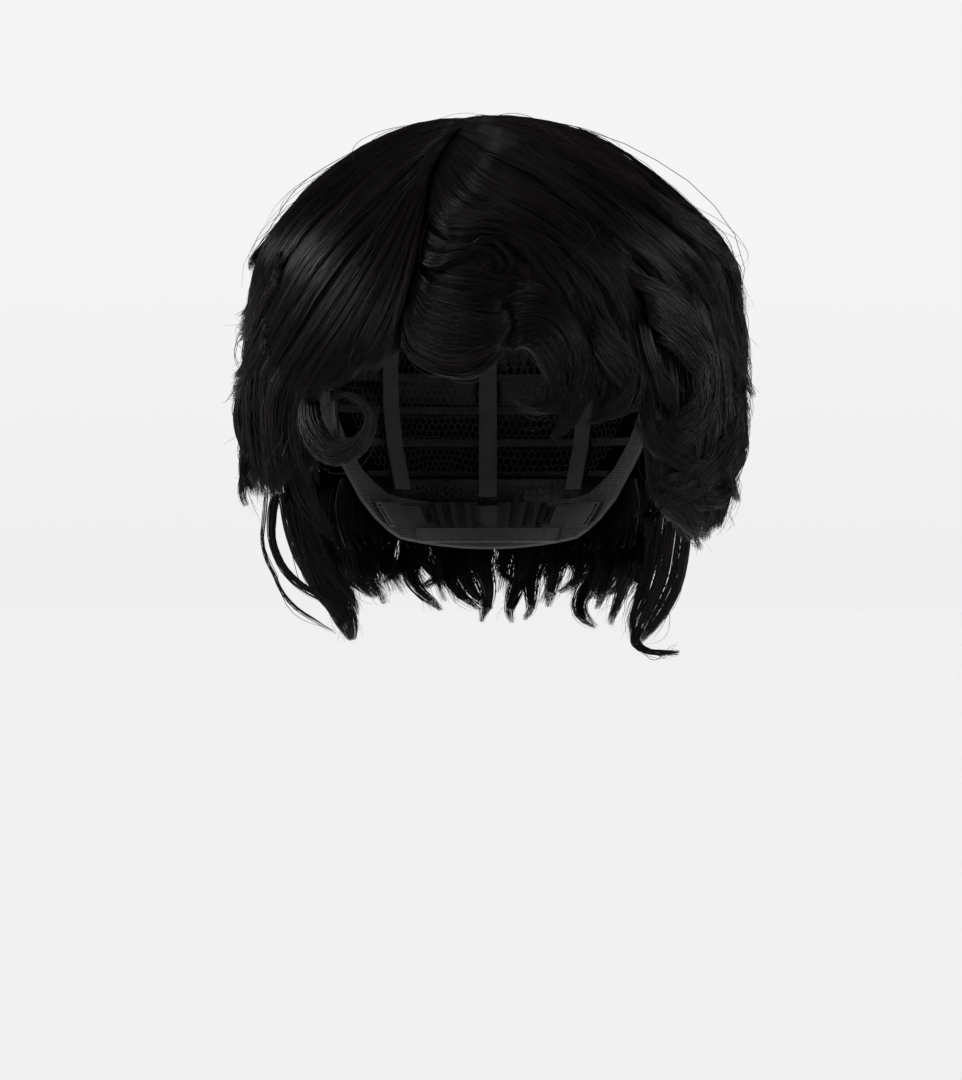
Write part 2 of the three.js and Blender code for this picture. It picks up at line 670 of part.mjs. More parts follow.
add("cap_net", "cap_net", capNet());
add("front_band", "elastic", band(-FRONT_BAND_END, FRONT_BAND_END, 20));
addPair("side_band", "elastic", (sign) => band(sign * (FRONT_BAND_END + 0.3), sign * SIDE_BAND_END, 16));
add("nape_band", "elastic", band(SIDE_BAND_END + 0.3, 360 - SIDE_BAND_END - 0.3, 16));
add("nape_pad", "velvet", napePad());
add("parting_strip", "skin_top", partingStrip());
addPair("ear_tab", "elastic", earTab);
addPair("ear_stay", "steel_wire", earStay);
RIBBON_AZIMUTHS.forEach((azimuth, i) => add(`ribbon_${i + 1}`, "elastic", ribbon(azimuth)));
WEFT_LEVELS.forEach((z, i) => add(`weft_row_${i + 1}`, "weft_tape", weft(z)));
addPair("loop_tape", "weft_tape", loopTape);
addPair("adjuster_hook", "hook_plastic", adjusterHook);
addPair("adjuster_strap", "elastic", adjusterStrap);
addPair("strap_casing", "elastic", strapCasing);

export default wig;
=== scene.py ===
"""Looks of a short wavy costume wig, built round its CAD frame.

The frame is in metres: +Z up, -Y the face, +X the wearer's left. Hair is worked out in millimetres and
placed on layers: layer 0 is the head under the cap and layer 1 the outline of the whole hairstyle. An
azimuth is in degrees round from the face, positive to the wearer's left. A polar angle is 0 at the crown
and 90 at the hat line, and grows by the same length for each degree below it.
"""

import math

import bmesh
import bpy
import numpy as np
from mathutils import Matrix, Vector


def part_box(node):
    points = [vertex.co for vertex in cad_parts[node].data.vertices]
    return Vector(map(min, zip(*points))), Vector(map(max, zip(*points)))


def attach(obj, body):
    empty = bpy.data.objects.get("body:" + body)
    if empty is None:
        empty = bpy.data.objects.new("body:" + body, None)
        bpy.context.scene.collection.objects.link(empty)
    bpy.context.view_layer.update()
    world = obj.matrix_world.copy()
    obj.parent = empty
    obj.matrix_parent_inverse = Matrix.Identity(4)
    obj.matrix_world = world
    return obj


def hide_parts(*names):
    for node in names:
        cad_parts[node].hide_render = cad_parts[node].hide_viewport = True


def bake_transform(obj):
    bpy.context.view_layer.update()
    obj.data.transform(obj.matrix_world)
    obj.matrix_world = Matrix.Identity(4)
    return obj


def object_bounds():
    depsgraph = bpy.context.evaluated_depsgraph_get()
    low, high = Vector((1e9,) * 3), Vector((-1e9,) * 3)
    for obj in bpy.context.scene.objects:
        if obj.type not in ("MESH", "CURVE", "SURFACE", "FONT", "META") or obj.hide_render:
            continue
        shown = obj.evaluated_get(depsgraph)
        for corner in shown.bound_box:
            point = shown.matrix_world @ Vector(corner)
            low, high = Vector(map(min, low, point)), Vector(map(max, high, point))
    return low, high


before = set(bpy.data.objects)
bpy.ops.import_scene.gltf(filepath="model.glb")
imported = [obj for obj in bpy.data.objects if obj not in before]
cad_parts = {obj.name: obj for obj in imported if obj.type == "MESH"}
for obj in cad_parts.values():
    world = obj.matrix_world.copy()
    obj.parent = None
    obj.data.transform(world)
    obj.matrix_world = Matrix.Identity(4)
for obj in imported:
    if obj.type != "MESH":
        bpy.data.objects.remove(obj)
cad_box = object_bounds()
rng = np.random.default_rng(7)

MM = 0.001
TINY = 1e-9

# ---------------------------------------------------------------- the head and the hairstyle's layers

NET_THICK = 1.0
HEAD_HALF_WIDTH, HEAD_BACK, HEAD_HEIGHT = (side / MM - NET_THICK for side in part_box("cap_net")[1])
HEAD_FRONT = 94.0
MM_PER_DEGREE = math.radians(HEAD_HEIGHT)
TUCK_DEPTH = 117.0  # below the hat line, over which the head closes in towards the neck
CAP_TUCK = 0.75  # share by which the cap has closed in at that depth
HAIR_TUCK = 0.5  # the same for the hair, which hangs straighter
TOP = cad_box[1][2] / MM
HEAD_SHAPE = np.array([95, 110, 100])  # half sizes of the ellipsoid that hair stands out from
LEAN_BELOW = 0.3  # share of its downward lean that hair keeps below the hat line

# Half girths of the outline at each polar angle: towards the wearer's right, left, front and back.
OUTLINE = np.array([
    [0, 117, 108, 106, 108],
    [17, 117, 108, 107, 111],
    [26, 111, 103, 108, 114],
    [39, 107, 101, 109, 117],
    [49, 108, 105, 110, 118],
    [57, 109, 110, 110, 119],
    [65, 108.4, 111.7, 110, 119],
    [75, 103.5, 107, 110, 119],
    [83, 102, 106, 110, 118],
    [90, 103, 107.5, 109, 117],
    [96, 104, 108, 108, 116],
    [104, 103, 107, 107, 113],
    [112, 102, 104, 105, 110],
    [119, 101, 102, 103, 106],
    [130, 95, 99, 98, 100],
    [138, 88, 90, 92, 93],
    [145, 80, 82, 88, 87],
    [160, 66, 66, 80, 78],
])


def head_share(drop, tuck):
    """Share of the head's full girth at a depth below the hat line."""
    return 1 - tuck * (np.clip(drop, 0, None) / TUCK_DEPTH) ** 2


def on_layer(azimuth, polar, layer, tuck=HAIR_TUCK):
    """Points on a layer, at angles in degrees."""
    azimuth, polar, layer = np.broadcast_arrays(*(np.asarray(v, float) for v in (azimuth, polar, layer)))
    sine, cosine = np.sin(np.radians(azimuth)), np.cos(np.radians(azimuth))
    slope = np.radians(np.minimum(polar, 90))
    drop = np.clip(polar - 90, 0, None) * MM_PER_DEGREE
    share = np.sin(slope) * head_share(drop, tuck)
    girths = [np.interp(polar, OUTLINE[:, 0], OUTLINE[:, i]) * np.sin(slope) for i in range(1, 5)]
    right, left, forward, back = girths
    head_length = np.where(cosine > 0, HEAD_FRONT, HEAD_BACK) * share
    x = (1 - layer) * HEAD_HALF_WIDTH * share + layer * np.where(sine > 0, left, right)
    y = (1 - layer) * head_length + layer * np.where(cosine > 0, forward, back)
    height = (HEAD_HEIGHT + (TOP - HEAD_HEIGHT) * layer) * np.cos(slope) - drop
    return np.stack([x * sine, -y * cosine, height], -1)


def polar_of(z, layer):
    """Polar angle of a height on a layer."""
    full = HEAD_HEIGHT + (TOP - HEAD_HEIGHT) * layer
    return np.where(z >= 0, np.degrees(np.arccos(np.clip(z / full, -1, 1))), 90 - z / MM_PER_DEGREE)


def ring(*stations):
    """Guide points from (azimuth, height, layer) stations."""
    azimuth, z, layer = np.array(stations, float).T
    return on_layer(azimuth, polar_of(z, layer), layer)


def front(*stations):
    """Guide points from (x, height, layer) stations on the face's half of the hair."""
    x, z, layer = np.array(stations, float).T
    polar = polar_of(z, layer)
    reach = np.abs(on_layer(np.sign(x) * 90 + (x == 0) * 90, polar, layer)[:, 0])
    azimuth = np.degrees(np.arcsin(np.clip(x / np.maximum(reach, TINY), -1, 1)))
    return on_layer(azimuth, polar, layer)


def place(*stations):
    """Guide points given straight as (x, y, z)."""
    return np.array(stations, float)


def outward(points):
    """Unit vectors away from the head."""
    away = points * (1 / HEAD_SHAPE**2)
    away[..., 2] = np.where(points[..., 2] < 0, away[..., 2] * LEAN_BELOW, away[..., 2])
    return away / np.linalg.norm(away, axis=-1, keepdims=True)


def unit(vectors):
    """Vectors scaled to unit length."""
    return vectors / np.maximum(np.linalg.norm(vectors, axis=-1, keepdims=True), TINY)


# ---------------------------------------------------------------- smooth curves

DENSE = 48  # points along a guide
SAMPLES = 12  # taken for each station of a guide, to measure its length


def weights(f):
    """Catmull-Rom weights of the four points around a fraction."""
    return np.stack([
        -0.5 * f + f**2 - 0.5 * f**3,
        1 - 2.5 * f**2 + 1.5 * f**3,
        0.5 * f + 2 * f**2 - 1.5 * f**3,
        -0.5 * f**2 + 0.5 * f**3,
    ], -1)


def spline(values, at):
    """Smooth curve through values, at positions counted in values."""
    first = np.clip(np.floor(at).astype(int), 0, len(values) - 2)
    w = weights(at - first)
    picks = [np.clip(first + k - 1, 0, len(values) - 1) for k in range(4)]
    return sum(w[..., k, None] * values[picks[k]] for k in range(4))


def evenly(stations, count=DENSE, *, carry=None):
    """Stations resampled at equal lengths along their smooth curve, with values carried along."""
    at = np.linspace(0, len(stations) - 1, SAMPLES * len(stations))
    curve = spline(stations, at)
    run = np.concatenate([[0], np.cumsum(np.linalg.norm(np.diff(curve, axis=0), axis=1))])
    where = np.interp(np.linspace(0, run[-1], count), run, at)
    if carry is None:
        return spline(stations, where)
    return spline(stations, where), spline(carry, where)


def on_guides(guides, across, along):
    """Points on the sheet that a list of dense guides spans, across in guides and along from 0 to 1."""
    first = np.clip(np.floor(across).astype(int), 0, len(guides) - 2)
    w = weights(across - first)
    row = np.clip(along, 0, 1) * (DENSE - 1)
    low = np.clip(np.floor(row).astype(int), 0, DENSE - 2)
    part = (row - low)[..., None]
    total = 0
    for k in range(4):
        pick = np.clip(first + k - 1, 0, len(guides) - 1)
        total = total + w[..., k, None] * (guides[pick, low] * (1 - part) + guides[pick, low + 1] * part)
    return total


# ---------------------------------------------------------------- mesh building


def mesh_object(name, points, quads, triangles, values):
    """Object from points in millimetres, faces as index arrays, and values to store at its points."""
    mesh = bpy.data.meshes.new(name)
    mesh.vertices.add(len(points))
    mesh.vertices.foreach_set("co", (points * MM).astype(np.float32).ravel())
    corners = np.concatenate([quads.ravel(), triangles.ravel()]).astype(np.int32)
    sizes = np.concatenate([np.full(len(quads), 4), np.full(len(triangles), 3)])
    mesh.loops.add(len(corners))
    mesh.loops.foreach_set("vertex_index", corners)
    mesh.polygons.add(len(sizes))
    mesh.polygons.foreach_set("loop_start", (np.cumsum(sizes) - sizes).astype(np.int32))
    mesh.polygons.foreach_set("use_smooth", np.ones(len(sizes), bool))
    for key, data in values.items():
        mesh.attributes.new(key, "FLOAT", "POINT").data.foreach_set("value", data.astype(np.float32))
    mesh.update(calc_edges=True)
    piece = bpy.data.objects.new(name, mesh)
    bpy.context.scene.collection.objects.link(piece)
    return piece


class Parts:
    """Gathers closed bodies into one mesh, with a tone and a place along the hair at each point."""

    def __init__(self):
        self.points, self.quads, self.triangles, self.values = [], [], [], []
        self.count = 0

    def add(self, points, quads, triangles, values):
        self.points.append(points.reshape(-1, 3))
        self.quads.append(quads.reshape(-1, 4) + self.count)
        self.triangles.append(triangles.reshape(-1, 3) + self.count)
        self.values.append(values.reshape(-1, 2))
        self.count += len(self.points[-1])

    def build(self, name):
        values = np.concatenate(self.values)
        return mesh_object(
            name,
            np.concatenate(self.points),
            np.concatenate(self.quads),
            np.concatenate(self.triangles),
            {"tone": values[:, 0], "along": values[:, 1]},
        )


TUBE_CORNERS = np.radians([90, 210, 330])


def add_strands(parts, paths, radii, tones):
    """Strands as three-sided tubes along paths of shape (strand, step, 3)."""
    count, steps = paths.shape[:2]
    tangent = unit(np.gradient(paths, axis=1))
    side = unit(np.cross(tangent, outward(paths)))
    up = np.cross(side, tangent)
    across = side[:, :, None] * np.cos(TUBE_CORNERS)[:, None]
    wheel = across + up[:, :, None] * np.sin(TUBE_CORNERS)[:, None]
    points = paths[:, :, None] + wheel * radii[:, :, None, None]
    index = np.arange(count * steps * 3).reshape(count, steps, 3)
    turned = np.roll(index, -1, axis=2)
    quads = np.stack([index[:, :-1], turned[:, :-1], turned[:, 1:], index[:, 1:]], -1)
    caps = np.stack([index[:, 0, ::-1], index[:, -1]], 1)
    along = np.broadcast_to(np.linspace(0, 1, steps)[None, :, None], index.shape)
    tone = np.broadcast_to(tones[:, None, None], index.shape)
    parts.add(points, quads, caps, np.stack([tone, along], -1))


def add_slab(parts, top, under, tones):
    """Closed body between two grids of points of the same shape (rows, columns, 3)."""
    rows, columns = top.shape[:2]
    a = np.arange(rows * columns).reshape(rows, columns)
    b = a + rows * columns
    faces = [np.stack([a[:-1, :-1], a[:-1, 1:], a[1:, 1:], a[1:, :-1]], -1).reshape(-1, 4)]
    faces.append(np.stack([b[:-1, :-1], b[1:, :-1], b[1:, 1:], b[:-1, 1:]], -1).reshape(-1, 4))
    edge = np.concatenate([a[0, :-1], a[:-1, -1], a[-1, :0:-1], a[:0:-1, 0]])
    after = np.roll(edge, -1)
    faces.append(np.stack([edge, edge + rows * columns, after + rows * columns, after], -1))
    along = np.broadcast_to(np.linspace(0, 1, rows)[:, None], (rows, columns))
    tone = np.broadcast_to(tones, (rows, columns))
    values = np.stack([np.concatenate([tone, tone]), np.concatenate([along, along])], -1)
    parts.add(np.stack([top, under]), np.concatenate(faces), np.zeros((0, 3), int), values)


# ---------------------------------------------------------------- hair

STEPS = 13  # points along a strand of a sheaf
LOCK_STEPS = 17  # points along a strand of a lock, which bends more
STRAND_RADIUS = 0.16
RADIUS_SPREAD = (0.75, 1.25)
TAPER_AT, TAPER = [0, 0.1, 0.7, 1], [0.7, 1, 0.9, 0.25]  # a strand's thickness from root to tip

CLUMP_WIDTH = 4.5
CLUMP_REACH = 0.75  # how far a clump's strands start to either side, in clumps
SINKING = 1.6  # how strongly strands crowd towards the surface rather than the core
LAID_DRIFT, STRAY_DRIFT = 0.5, 5.0  # how far most strands and stray ones wander from their clump
CLUMP_TONE, STRAND_TONE = 0.6, 0.4  # how far a strand's tone follows its clump and itself

CORE_RIB = 1.6  # between the ribs of a core
CORE_ROWS = 26
CORE_MARGIN = 0.02
CORE_RAGGED = 0.16
CORE_SINK, CORE_RIB_DEPTH = 1.6, 0.9
# Highest tone of a sheaf's core: its dark is painted shade for the hair packed under the strands.
CORE_PAINTED_SHADE = 0.35
# Tone of a lock's core: its dark is painted shade for the hair packed inside the lock.
TUBE_PAINTED_SHADE = 0.3
TUBE_SIDES = 10

LOCK_DRIFT = 3.5  # how far a lock's stray strands wander
TRESS_SHAPE = (0.7, 0.95, 1, 0.95, 0.8, 0.6, 0.35, 0.1)  # a tress's width from root to tip
TRESS_TIP = 0.6  # where along a tress its tip starts to turn


def radii_for(count, steps, size=1.0):
    """Strand radii, thinning towards the tip."""
    taper = np.interp(np.linspace(0, 1, steps), TAPER_AT, TAPER)
    return STRAND_RADIUS * size * rng.uniform(*RADIUS_SPREAD, (count, 1)) * taper


def wander(count, steps, size):
    """A slow random drift for each strand, from nothing at the root."""
    t = np.linspace(0, 1, steps)
    phase = rng.uniform(0, 2 * np.pi, (count, 1))
    turns = rng.uniform(0.5, 1.6, (count, 1))
    return size * rng.normal(0, 1, (count, 1)) * np.sin(phase + 2 * np.pi * turns * t) * t**0.8


def sheaf(
    parts, guides, strands, *, depth=6.0, pinch=0.5, ragged=0.1, roots=0.1, wave=0.8, waves=1.5,
    stray=0.03, core=0.93, lumps=1.2,
):
    """Hair over the sheet that its guides span, in clumps, on a core that no light gets through and that is
    darkened as painted shade.

    The strands lie down to a depth under the sheet and start over its first share, roots. A clump pinches
    together towards its tip, swings sideways by wave and lifts by lumps, and stops short by up to ragged. A
    share of the strands stray. The core ends at its share of the sheet's length.
    """
    guides = np.array([evenly(guide) for guide in guides])
    span = np.linalg.norm(np.diff(guides[:, DENSE // 2], axis=0), axis=1).sum()
    reach = len(guides) - 1
    clumps = max(3, int(span / CLUMP_WIDTH))
    centre = (np.arange(clumps) + rng.uniform(0.2, 0.8, clumps)) / clumps * reach
    lift = rng.normal(0, lumps, clumps)
    length = rng.uniform(1 - ragged, 1, clumps)
    swing = rng.normal(0, wave, clumps)
    phase = rng.uniform(0, 2 * np.pi, clumps)
    shade = rng.uniform(0, 1, clumps)

    which = rng.integers(0, clumps, strands)
    t = np.linspace(0, 1, STEPS)
    start = rng.uniform(0, roots, (strands, 1))
    end = length[which, None] * (1 - rng.uniform(0, 1, (strands, 1)) ** 2 * ragged)
    along = start + (end - start) * t
    offset = rng.uniform(-CLUMP_REACH, CLUMP_REACH, (strands, 1)) * reach / clumps
    across = centre[which, None] + offset * (1 - pinch * along)
    paths = on_guides(guides, np.clip(across, 0, reach), along)
    normal = outward(paths)
    side = unit(np.cross(unit(np.gradient(paths, axis=1)), normal))
    sunk = rng.uniform(0, 1, (strands, 1)) ** SINKING * depth
    rise = lift[which, None] * np.sin(np.pi * np.clip(along, 0, 1)) - sunk * (1 - 0.35 * along)
    drift = swing[which, None] * np.sin(phase[which, None] + 2 * np.pi * waves * along) * along
    loose = np.where(rng.uniform(0, 1, (strands, 1)) < stray, STRAY_DRIFT, LAID_DRIFT)
    rise = rise + wander(strands, STEPS, 1.0) * loose
    drift = drift + wander(strands, STEPS, 1.0) * loose
    paths = paths + normal * rise[..., None] + side * drift[..., None]
    tones = CLUMP_TONE * shade[which] + STRAND_TONE * rng.uniform(0, 1, strands)
    add_strands(parts, paths, radii_for(strands, STEPS), tones)
    add_core(parts, guides, span, depth, core)


def add_core(parts, guides, span, depth, reach):
    """The body of hair under a sheaf's strands, ribbed along them and thinning to its ragged end, kept dark
    as painted shade.
    """
    columns = max(8, int(span / CORE_RIB))
    across = np.linspace(CORE_MARGIN, 1 - CORE_MARGIN, columns) * (len(guides) - 1)
    down = np.linspace(0, 1, CORE_ROWS)[:, None]
    along = CORE_MARGIN + down * (reach - CORE_MARGIN - rng.uniform(0, CORE_RAGGED, columns))
    sheet = on_guides(guides, np.broadcast_to(across, along.shape), along)
    normal = outward(sheet)
    edge = np.minimum(np.abs(np.linspace(-1, 1, columns)) ** 6 + down**8, 1)
    sink = CORE_SINK + rng.uniform(0, CORE_RIB_DEPTH, columns) + edge * depth * 0.6
    base = np.maximum(sink + 0.5, (depth * (1.25 - 0.45 * down) + 1.0) * (1 - 0.3 * edge))
    top, under = sheet - normal * sink[..., None], sheet - normal * base[..., None]
    # The core's dark tones are painted shade.
    add_slab(parts, top, under, rng.uniform(0, CORE_PAINTED_SHADE, columns))


def lock(
    parts, stations, sizes, strands, *, fray=0.25, ragged=0.12, stray=0.06, core=0.6, facing=None,
    twist=0.5,
):
    """A free lock along stations, with its width and thickness at each.

    Its strands wander by fray, and it is flat across the direction that it faces. The core fills its share
    of it.
    """
    path, size = evenly(stations, carry=np.array(sizes, float))
    tangent = unit(np.gradient(path, axis=0))
    normal = outward(path) if facing is None else np.broadcast_to(unit(np.array(facing, float)), path.shape)
    side = unit(np.cross(tangent, normal))
    normal = np.cross(side, tangent)
    t = np.linspace(0, 1, LOCK_STEPS)
    start = rng.uniform(0, 0.06, (strands, 1))
    end = 1 - rng.uniform(0, 1, (strands, 1)) ** 2 * ragged
    row = (start + (end - start) * t) * (DENSE - 1)

    def pick(values):
        return np.stack([np.interp(row, np.arange(DENSE), column) for column in values.T], -1)

    spread = np.sqrt(rng.uniform(0, 1, (strands, 1)))
    angle = rng.uniform(0, 2 * np.pi, (strands, 1)) + rng.normal(0, twist, (strands, 1)) * t
    width, thick = np.moveaxis(pick(size), -1, 0) / 2
    loose = np.where(rng.uniform(0, 1, (strands, 1)) < stray, LOCK_DRIFT, fray)
    u = width * spread * np.cos(angle) + wander(strands, len(t), 1.0) * loose
    v = thick * spread * np.sin(angle) + wander(strands, len(t), 1.0) * loose
    paths = pick(path) + pick(side) * u[..., None] + pick(normal) * v[..., None]
    radii = radii_for(strands, len(t))
    add_strands(parts, paths, radii, rng.uniform(0, 1) * 0.5 + rng.uniform(0, 0.5, strands))
    if core:
        wheel = np.linspace(0, 2 * np.pi, TUBE_SIDES, endpoint=False)[:, None]
        keep = np.arange(2, DENSE - 6, 2)
        half_width, half_thick = (size[keep, None, i, None] / 2 * core for i in range(2))
        across = side[keep, None] * half_width * np.cos(wheel)
        oval = across + normal[keep, None] * half_thick * np.sin(wheel)
        add_tube(parts, path[keep, None] + oval)


def add_tube(parts, rings):
    """Closed tube through rings of points of shape (ring, side, 3), in a lock core's dark tone of painted
    shade.
    """
    count, sides = rings.shape[:2]
    index = np.arange(count * sides).reshape(count, sides)
    turned = np.roll(index, -1, axis=1)
    quads = np.stack([index[:-1], turned[:-1], turned[1:], index[1:]], -1)
    fans = []
    for loop in (index[0][::-1], index[-1]):
        fans.append(np.stack([np.full(sides - 2, loop[0]), loop[1:-1], loop[2:]], -1))
    along = np.broadcast_to(np.linspace(0, 1, count)[:, None], index.shape)
    # The tube's one dark tone is painted shade.
    parts.add(rings, quads, np.concatenate(fans), np.stack([np.full(index.shape, TUBE_PAINTED_SHADE), along], -1))


def flyaways(parts, count, azimuths, polars, *, reach=45.0, lift=(0.05, 0.4)):
    """Single hairs that have sprung clear of the outline by a lift in layers, each on an arc of its own."""
    t = np.linspace(0, 1, STEPS)
    azimuth = rng.uniform(*azimuths, (count, 1))
    polar = rng.uniform(*polars, (count, 1))
    turn = rng.normal(0, 0.5, (count, 1)) * reach
    run = np.degrees(rng.uniform(0.5, 1.3, (count, 1)) * reach / HEAD_HEIGHT)
    layer = 0.97 + rng.uniform(*lift, (count, 1)) * np.sin(np.pi * 0.8 * t)
    paths = on_layer(azimuth + turn * t**1.5, polar + run * t, layer)
    add_strands(parts, paths, radii_for(count, STEPS, 0.7), rng.uniform(0, 1, count))


def tresses(
    parts, span, count, strands, *, roots, drop, layers, sway=3.0, curl=12.0, width=(8, 14), ripple=0.1
):
    """Waved locks hanging side by side over a span of azimuths, each with its tip turned to one side.

    Roots is the range of heights that they start from, drop the range of their lengths, and layers where
    their root, upper part and tip lie. They sway and curl by degrees, and stand in and out by a ripple in
    layers.
    """
    t = np.linspace(0, 1, len(TRESS_SHAPE))
    for place_in_row in (np.arange(count) + rng.uniform(0.1, 0.9, count)) / count:
        turn = rng.choice([-1, 1])
        phase, waves = rng.uniform(0, 2 * np.pi), rng.uniform(0.8, 1.4)
        tip = (np.clip(t - TRESS_TIP, 0, 1) / (1 - TRESS_TIP)) ** 2
        azimuth = span[0] + (span[1] - span[0]) * place_in_row
        azimuth = azimuth + sway * np.sin(phase + 2 * np.pi * waves * t) * t**0.5
        azimuth = azimuth + turn * curl * tip * rng.uniform(0.4, 1)
        z = rng.uniform(*roots) - rng.uniform(*drop) * (t - 0.1 * tip)
        swell = ripple * np.sin(phase + 2 * np.pi * waves * t + 1.5) * t
        layer = np.interp(t, [0, 0.35, 1], layers) + swell
        broad = rng.uniform(*width)
        sizes = [(broad * share, 2 + 3 * share) for share in TRESS_SHAPE]
        lock(parts, on_layer(azimuth, polar_of(z, layer), layer), sizes, strands, fray=0.6, core=0.5)


# ---------------------------------------------------------------- materials

HAIR_SHADES = [
    (0.0, (0.002, 0.0013, 0.0016)),
    (0.6, (0.0042, 0.0027, 0.0031)),
    (1.0, (0.013, 0.008, 0.0078)),
]
HAIR_ROUGHNESS = (0.26, 0.40)
HAIR_SPECULAR = 0.15
CLOTH_SPECULAR = 0.25
WEAVE_BUMP, MARKS_BUMP = 0.15, 0.03
WEAR_SCALE = 60.0  # of the noise, per metre
WAVE_BANDS = 0.314  # scale of the wave pattern that gives one band to a metre


def node_material(name, color, roughness):
    """A material with its Principled node, and plain starting values."""
    material = bpy.data.materials.new(name)
    material.use_nodes = True
    shader = material.node_tree.nodes["Principled BSDF"]
    shader.inputs["Base Color"].default_value = (*color, 1)
    shader.inputs["Roughness"].default_value = roughness
    return material, material.node_tree, shader


def attribute(tree, name):
    """A value stored at the mesh's points."""
    node = tree.nodes.new("ShaderNodeAttribute")
    node.attribute_name = name
    return node.outputs["Fac"]


def ramp(tree, factor, stops):
    """Colours blended between (position, colour) stops."""
    node = tree.nodes.new("ShaderNodeValToRGB")
    while len(node.color_ramp.elements) < len(stops):
        node.color_ramp.elements.new(0.5)
    for element, (position, color) in zip(node.color_ramp.elements, stops):
        element.position = position
        element.color = (*color, 1)
    tree.links.new(factor, node.inputs["Fac"])
    return node.outputs["Color"]


def remap(tree, value, low, high):
    """A value from 0 to 1 spread over another range."""
    node = tree.nodes.new("ShaderNodeMapRange")
    node.inputs["To Min"].default_value = low
    node.inputs["To Max"].default_value = high
    tree.links.new(value, node.inputs["Value"])
    return node.outputs["Result"]


def noise(tree, scale):
    """Noise over the object's own space."""
    place_in_object = tree.nodes.new("ShaderNodeTexCoord").outputs["Object"]
    node = tree.nodes.new("ShaderNodeTexNoise")
    node.inputs["Scale"].default_value = scale
    tree.links.new(place_in_object, node.inputs["Vector"])
    return node.outputs["Fac"]


def hair_material():
    """Near-black fibre, browner and less glossy in some strands than in others; the cores take the darkest
    tones as painted shade.
    """
    material, tree, shader = node_material("hair_fibre", HAIR_SHADES[1][1], HAIR_ROUGHNESS[0])
    tone = attribute(tree, "tone")
    tree.links.new(ramp(tree, tone, HAIR_SHADES), shader.inputs["Base Color"])
    tree.links.new(remap(tree, tone, *HAIR_ROUGHNESS), shader.inputs["Roughness"])
    shader.inputs["Specular IOR Level"].default_value = HAIR_SPECULAR
    return material


def bump(tree, shader, height, distance):
    """Raises a surface by a distance in millimetres, times a pattern of heights from 0 to 1."""
    node = tree.nodes.new("ShaderNodeBump")
    node.inputs["Distance"].default_value = distance * MM
    tree.links.new(height, node.inputs["Height"])
    tree.links.new(node.outputs["Normal"], shader.inputs["Normal"])


def ribs(tree, direction, pitch):
    """Even ribs along a direction of the object's space, a pitch in millimetres apart."""
    place_in_object = tree.nodes.new("ShaderNodeTexCoord").outputs["Object"]
    node = tree.nodes.new("ShaderNodeTexWave")
    node.bands_direction = direction
    node.inputs["Scale"].default_value = WAVE_BANDS / (pitch * MM)
    node.inputs["Distortion"].default_value = 0.4
    tree.links.new(place_in_object, node.inputs["Vector"])
    return node.outputs["Fac"]


def product(tree, first, second):
    """Two values multiplied."""
    node = tree.nodes.new("ShaderNodeMath")
    node.operation = "MULTIPLY"
    tree.links.new(first, node.inputs[0])
    tree.links.new(second, node.inputs[1])
    return node.outputs["Value"]


def cloth_material(name, color, roughness, pitch, directions, sheen=0.0):
    """Cloth with threads along each direction, with painted shade between them, and worn in places."""
    material, tree, shader = node_material(name, color, roughness)
    weave = ribs(tree, directions[0], pitch)
    if len(directions) > 1:
        weave = product(tree, weave, ribs(tree, directions[1], pitch))
    # Painted shade between the threads, times random wear from the noise.
    weave_shade_and_wear = product(tree, remap(tree, weave, 0.6, 1.0), remap(tree, noise(tree, WEAR_SCALE), 0.6, 1.3))
    shade = ramp(tree, weave_shade_and_wear, [(0.3, tuple(0.55 * c for c in color)), (1.0, tuple(1.25 * c for c in color))])
    tree.links.new(shade, shader.inputs["Base Color"])
    bump(tree, shader, weave, WEAVE_BUMP)
    shader.inputs["Sheen Weight"].default_value = sheen
    shader.inputs["Specular IOR Level"].default_value = CLOTH_SPECULAR
    return material


def solid_material(name, color, roughness, metallic, scale):
    """Moulded or drawn material, with faint marks from its making."""
    material, tree, shader = node_material(name, color, roughness)
    marks = noise(tree, scale)
    shade = ramp(tree, marks, [(0.3, tuple(0.85 * c for c in color)), (0.7, tuple(1.1 * c for c in color))])
    tree.links.new(shade, shader.inputs["Base Color"])
    tree.links.new(remap(tree, marks, roughness - 0.06, roughness + 0.08), shader.inputs["Roughness"])
    bump(tree, shader, marks, MARKS_BUMP)
    shader.inputs["Metallic"].default_value = metallic
    return material


HAIR = hair_material()
NET = cloth_material("cap_net", (0.045, 0.040, 0.040), 0.8, 0.5, "XZ")
ELASTIC = cloth_material("elastic", (0.061, 0.054, 0.054), 0.7, 1.1, "Z", 0.1)
RIBBON = cloth_material("ribbon", (0.061, 0.054, 0.054), 0.7, 1.1, "XZ", 0.1)
TAPE = cloth_material("weft_tape", (0.034, 0.031, 0.031), 0.75, 0.8, "XZ")
VELVET = cloth_material("velvet", (0.025, 0.020, 0.023), 0.95, 0.6, "XZ", 0.6)
SKIN = solid_material("skin_top", (0.205, 0.162, 0.138), 0.6, 0, 900.0)
WIRE = solid_material("steel_wire", (0.45, 0.45, 0.46), 0.35, 1, 1500.0)
PLASTIC = solid_material("hook_plastic", (0.02, 0.02, 0.022), 0.35, 0, 700.0)


# ---------------------------------------------------------------- the cap

CELL_SUBDIVISIONS = 6
THREAD_RADIUS = 0.22
NET_LAYER = 0.02
NET_MARGIN = 0.5  # left between the threads and the cap's edge
EDGE_ANGLE = 40  # from which an edge of a CAD solid is rounded over
EDGE_SEGMENTS = 3
PAD_CELL = 0.6
PAD_SOFTENING = 8

SIDES = ("left", "right")
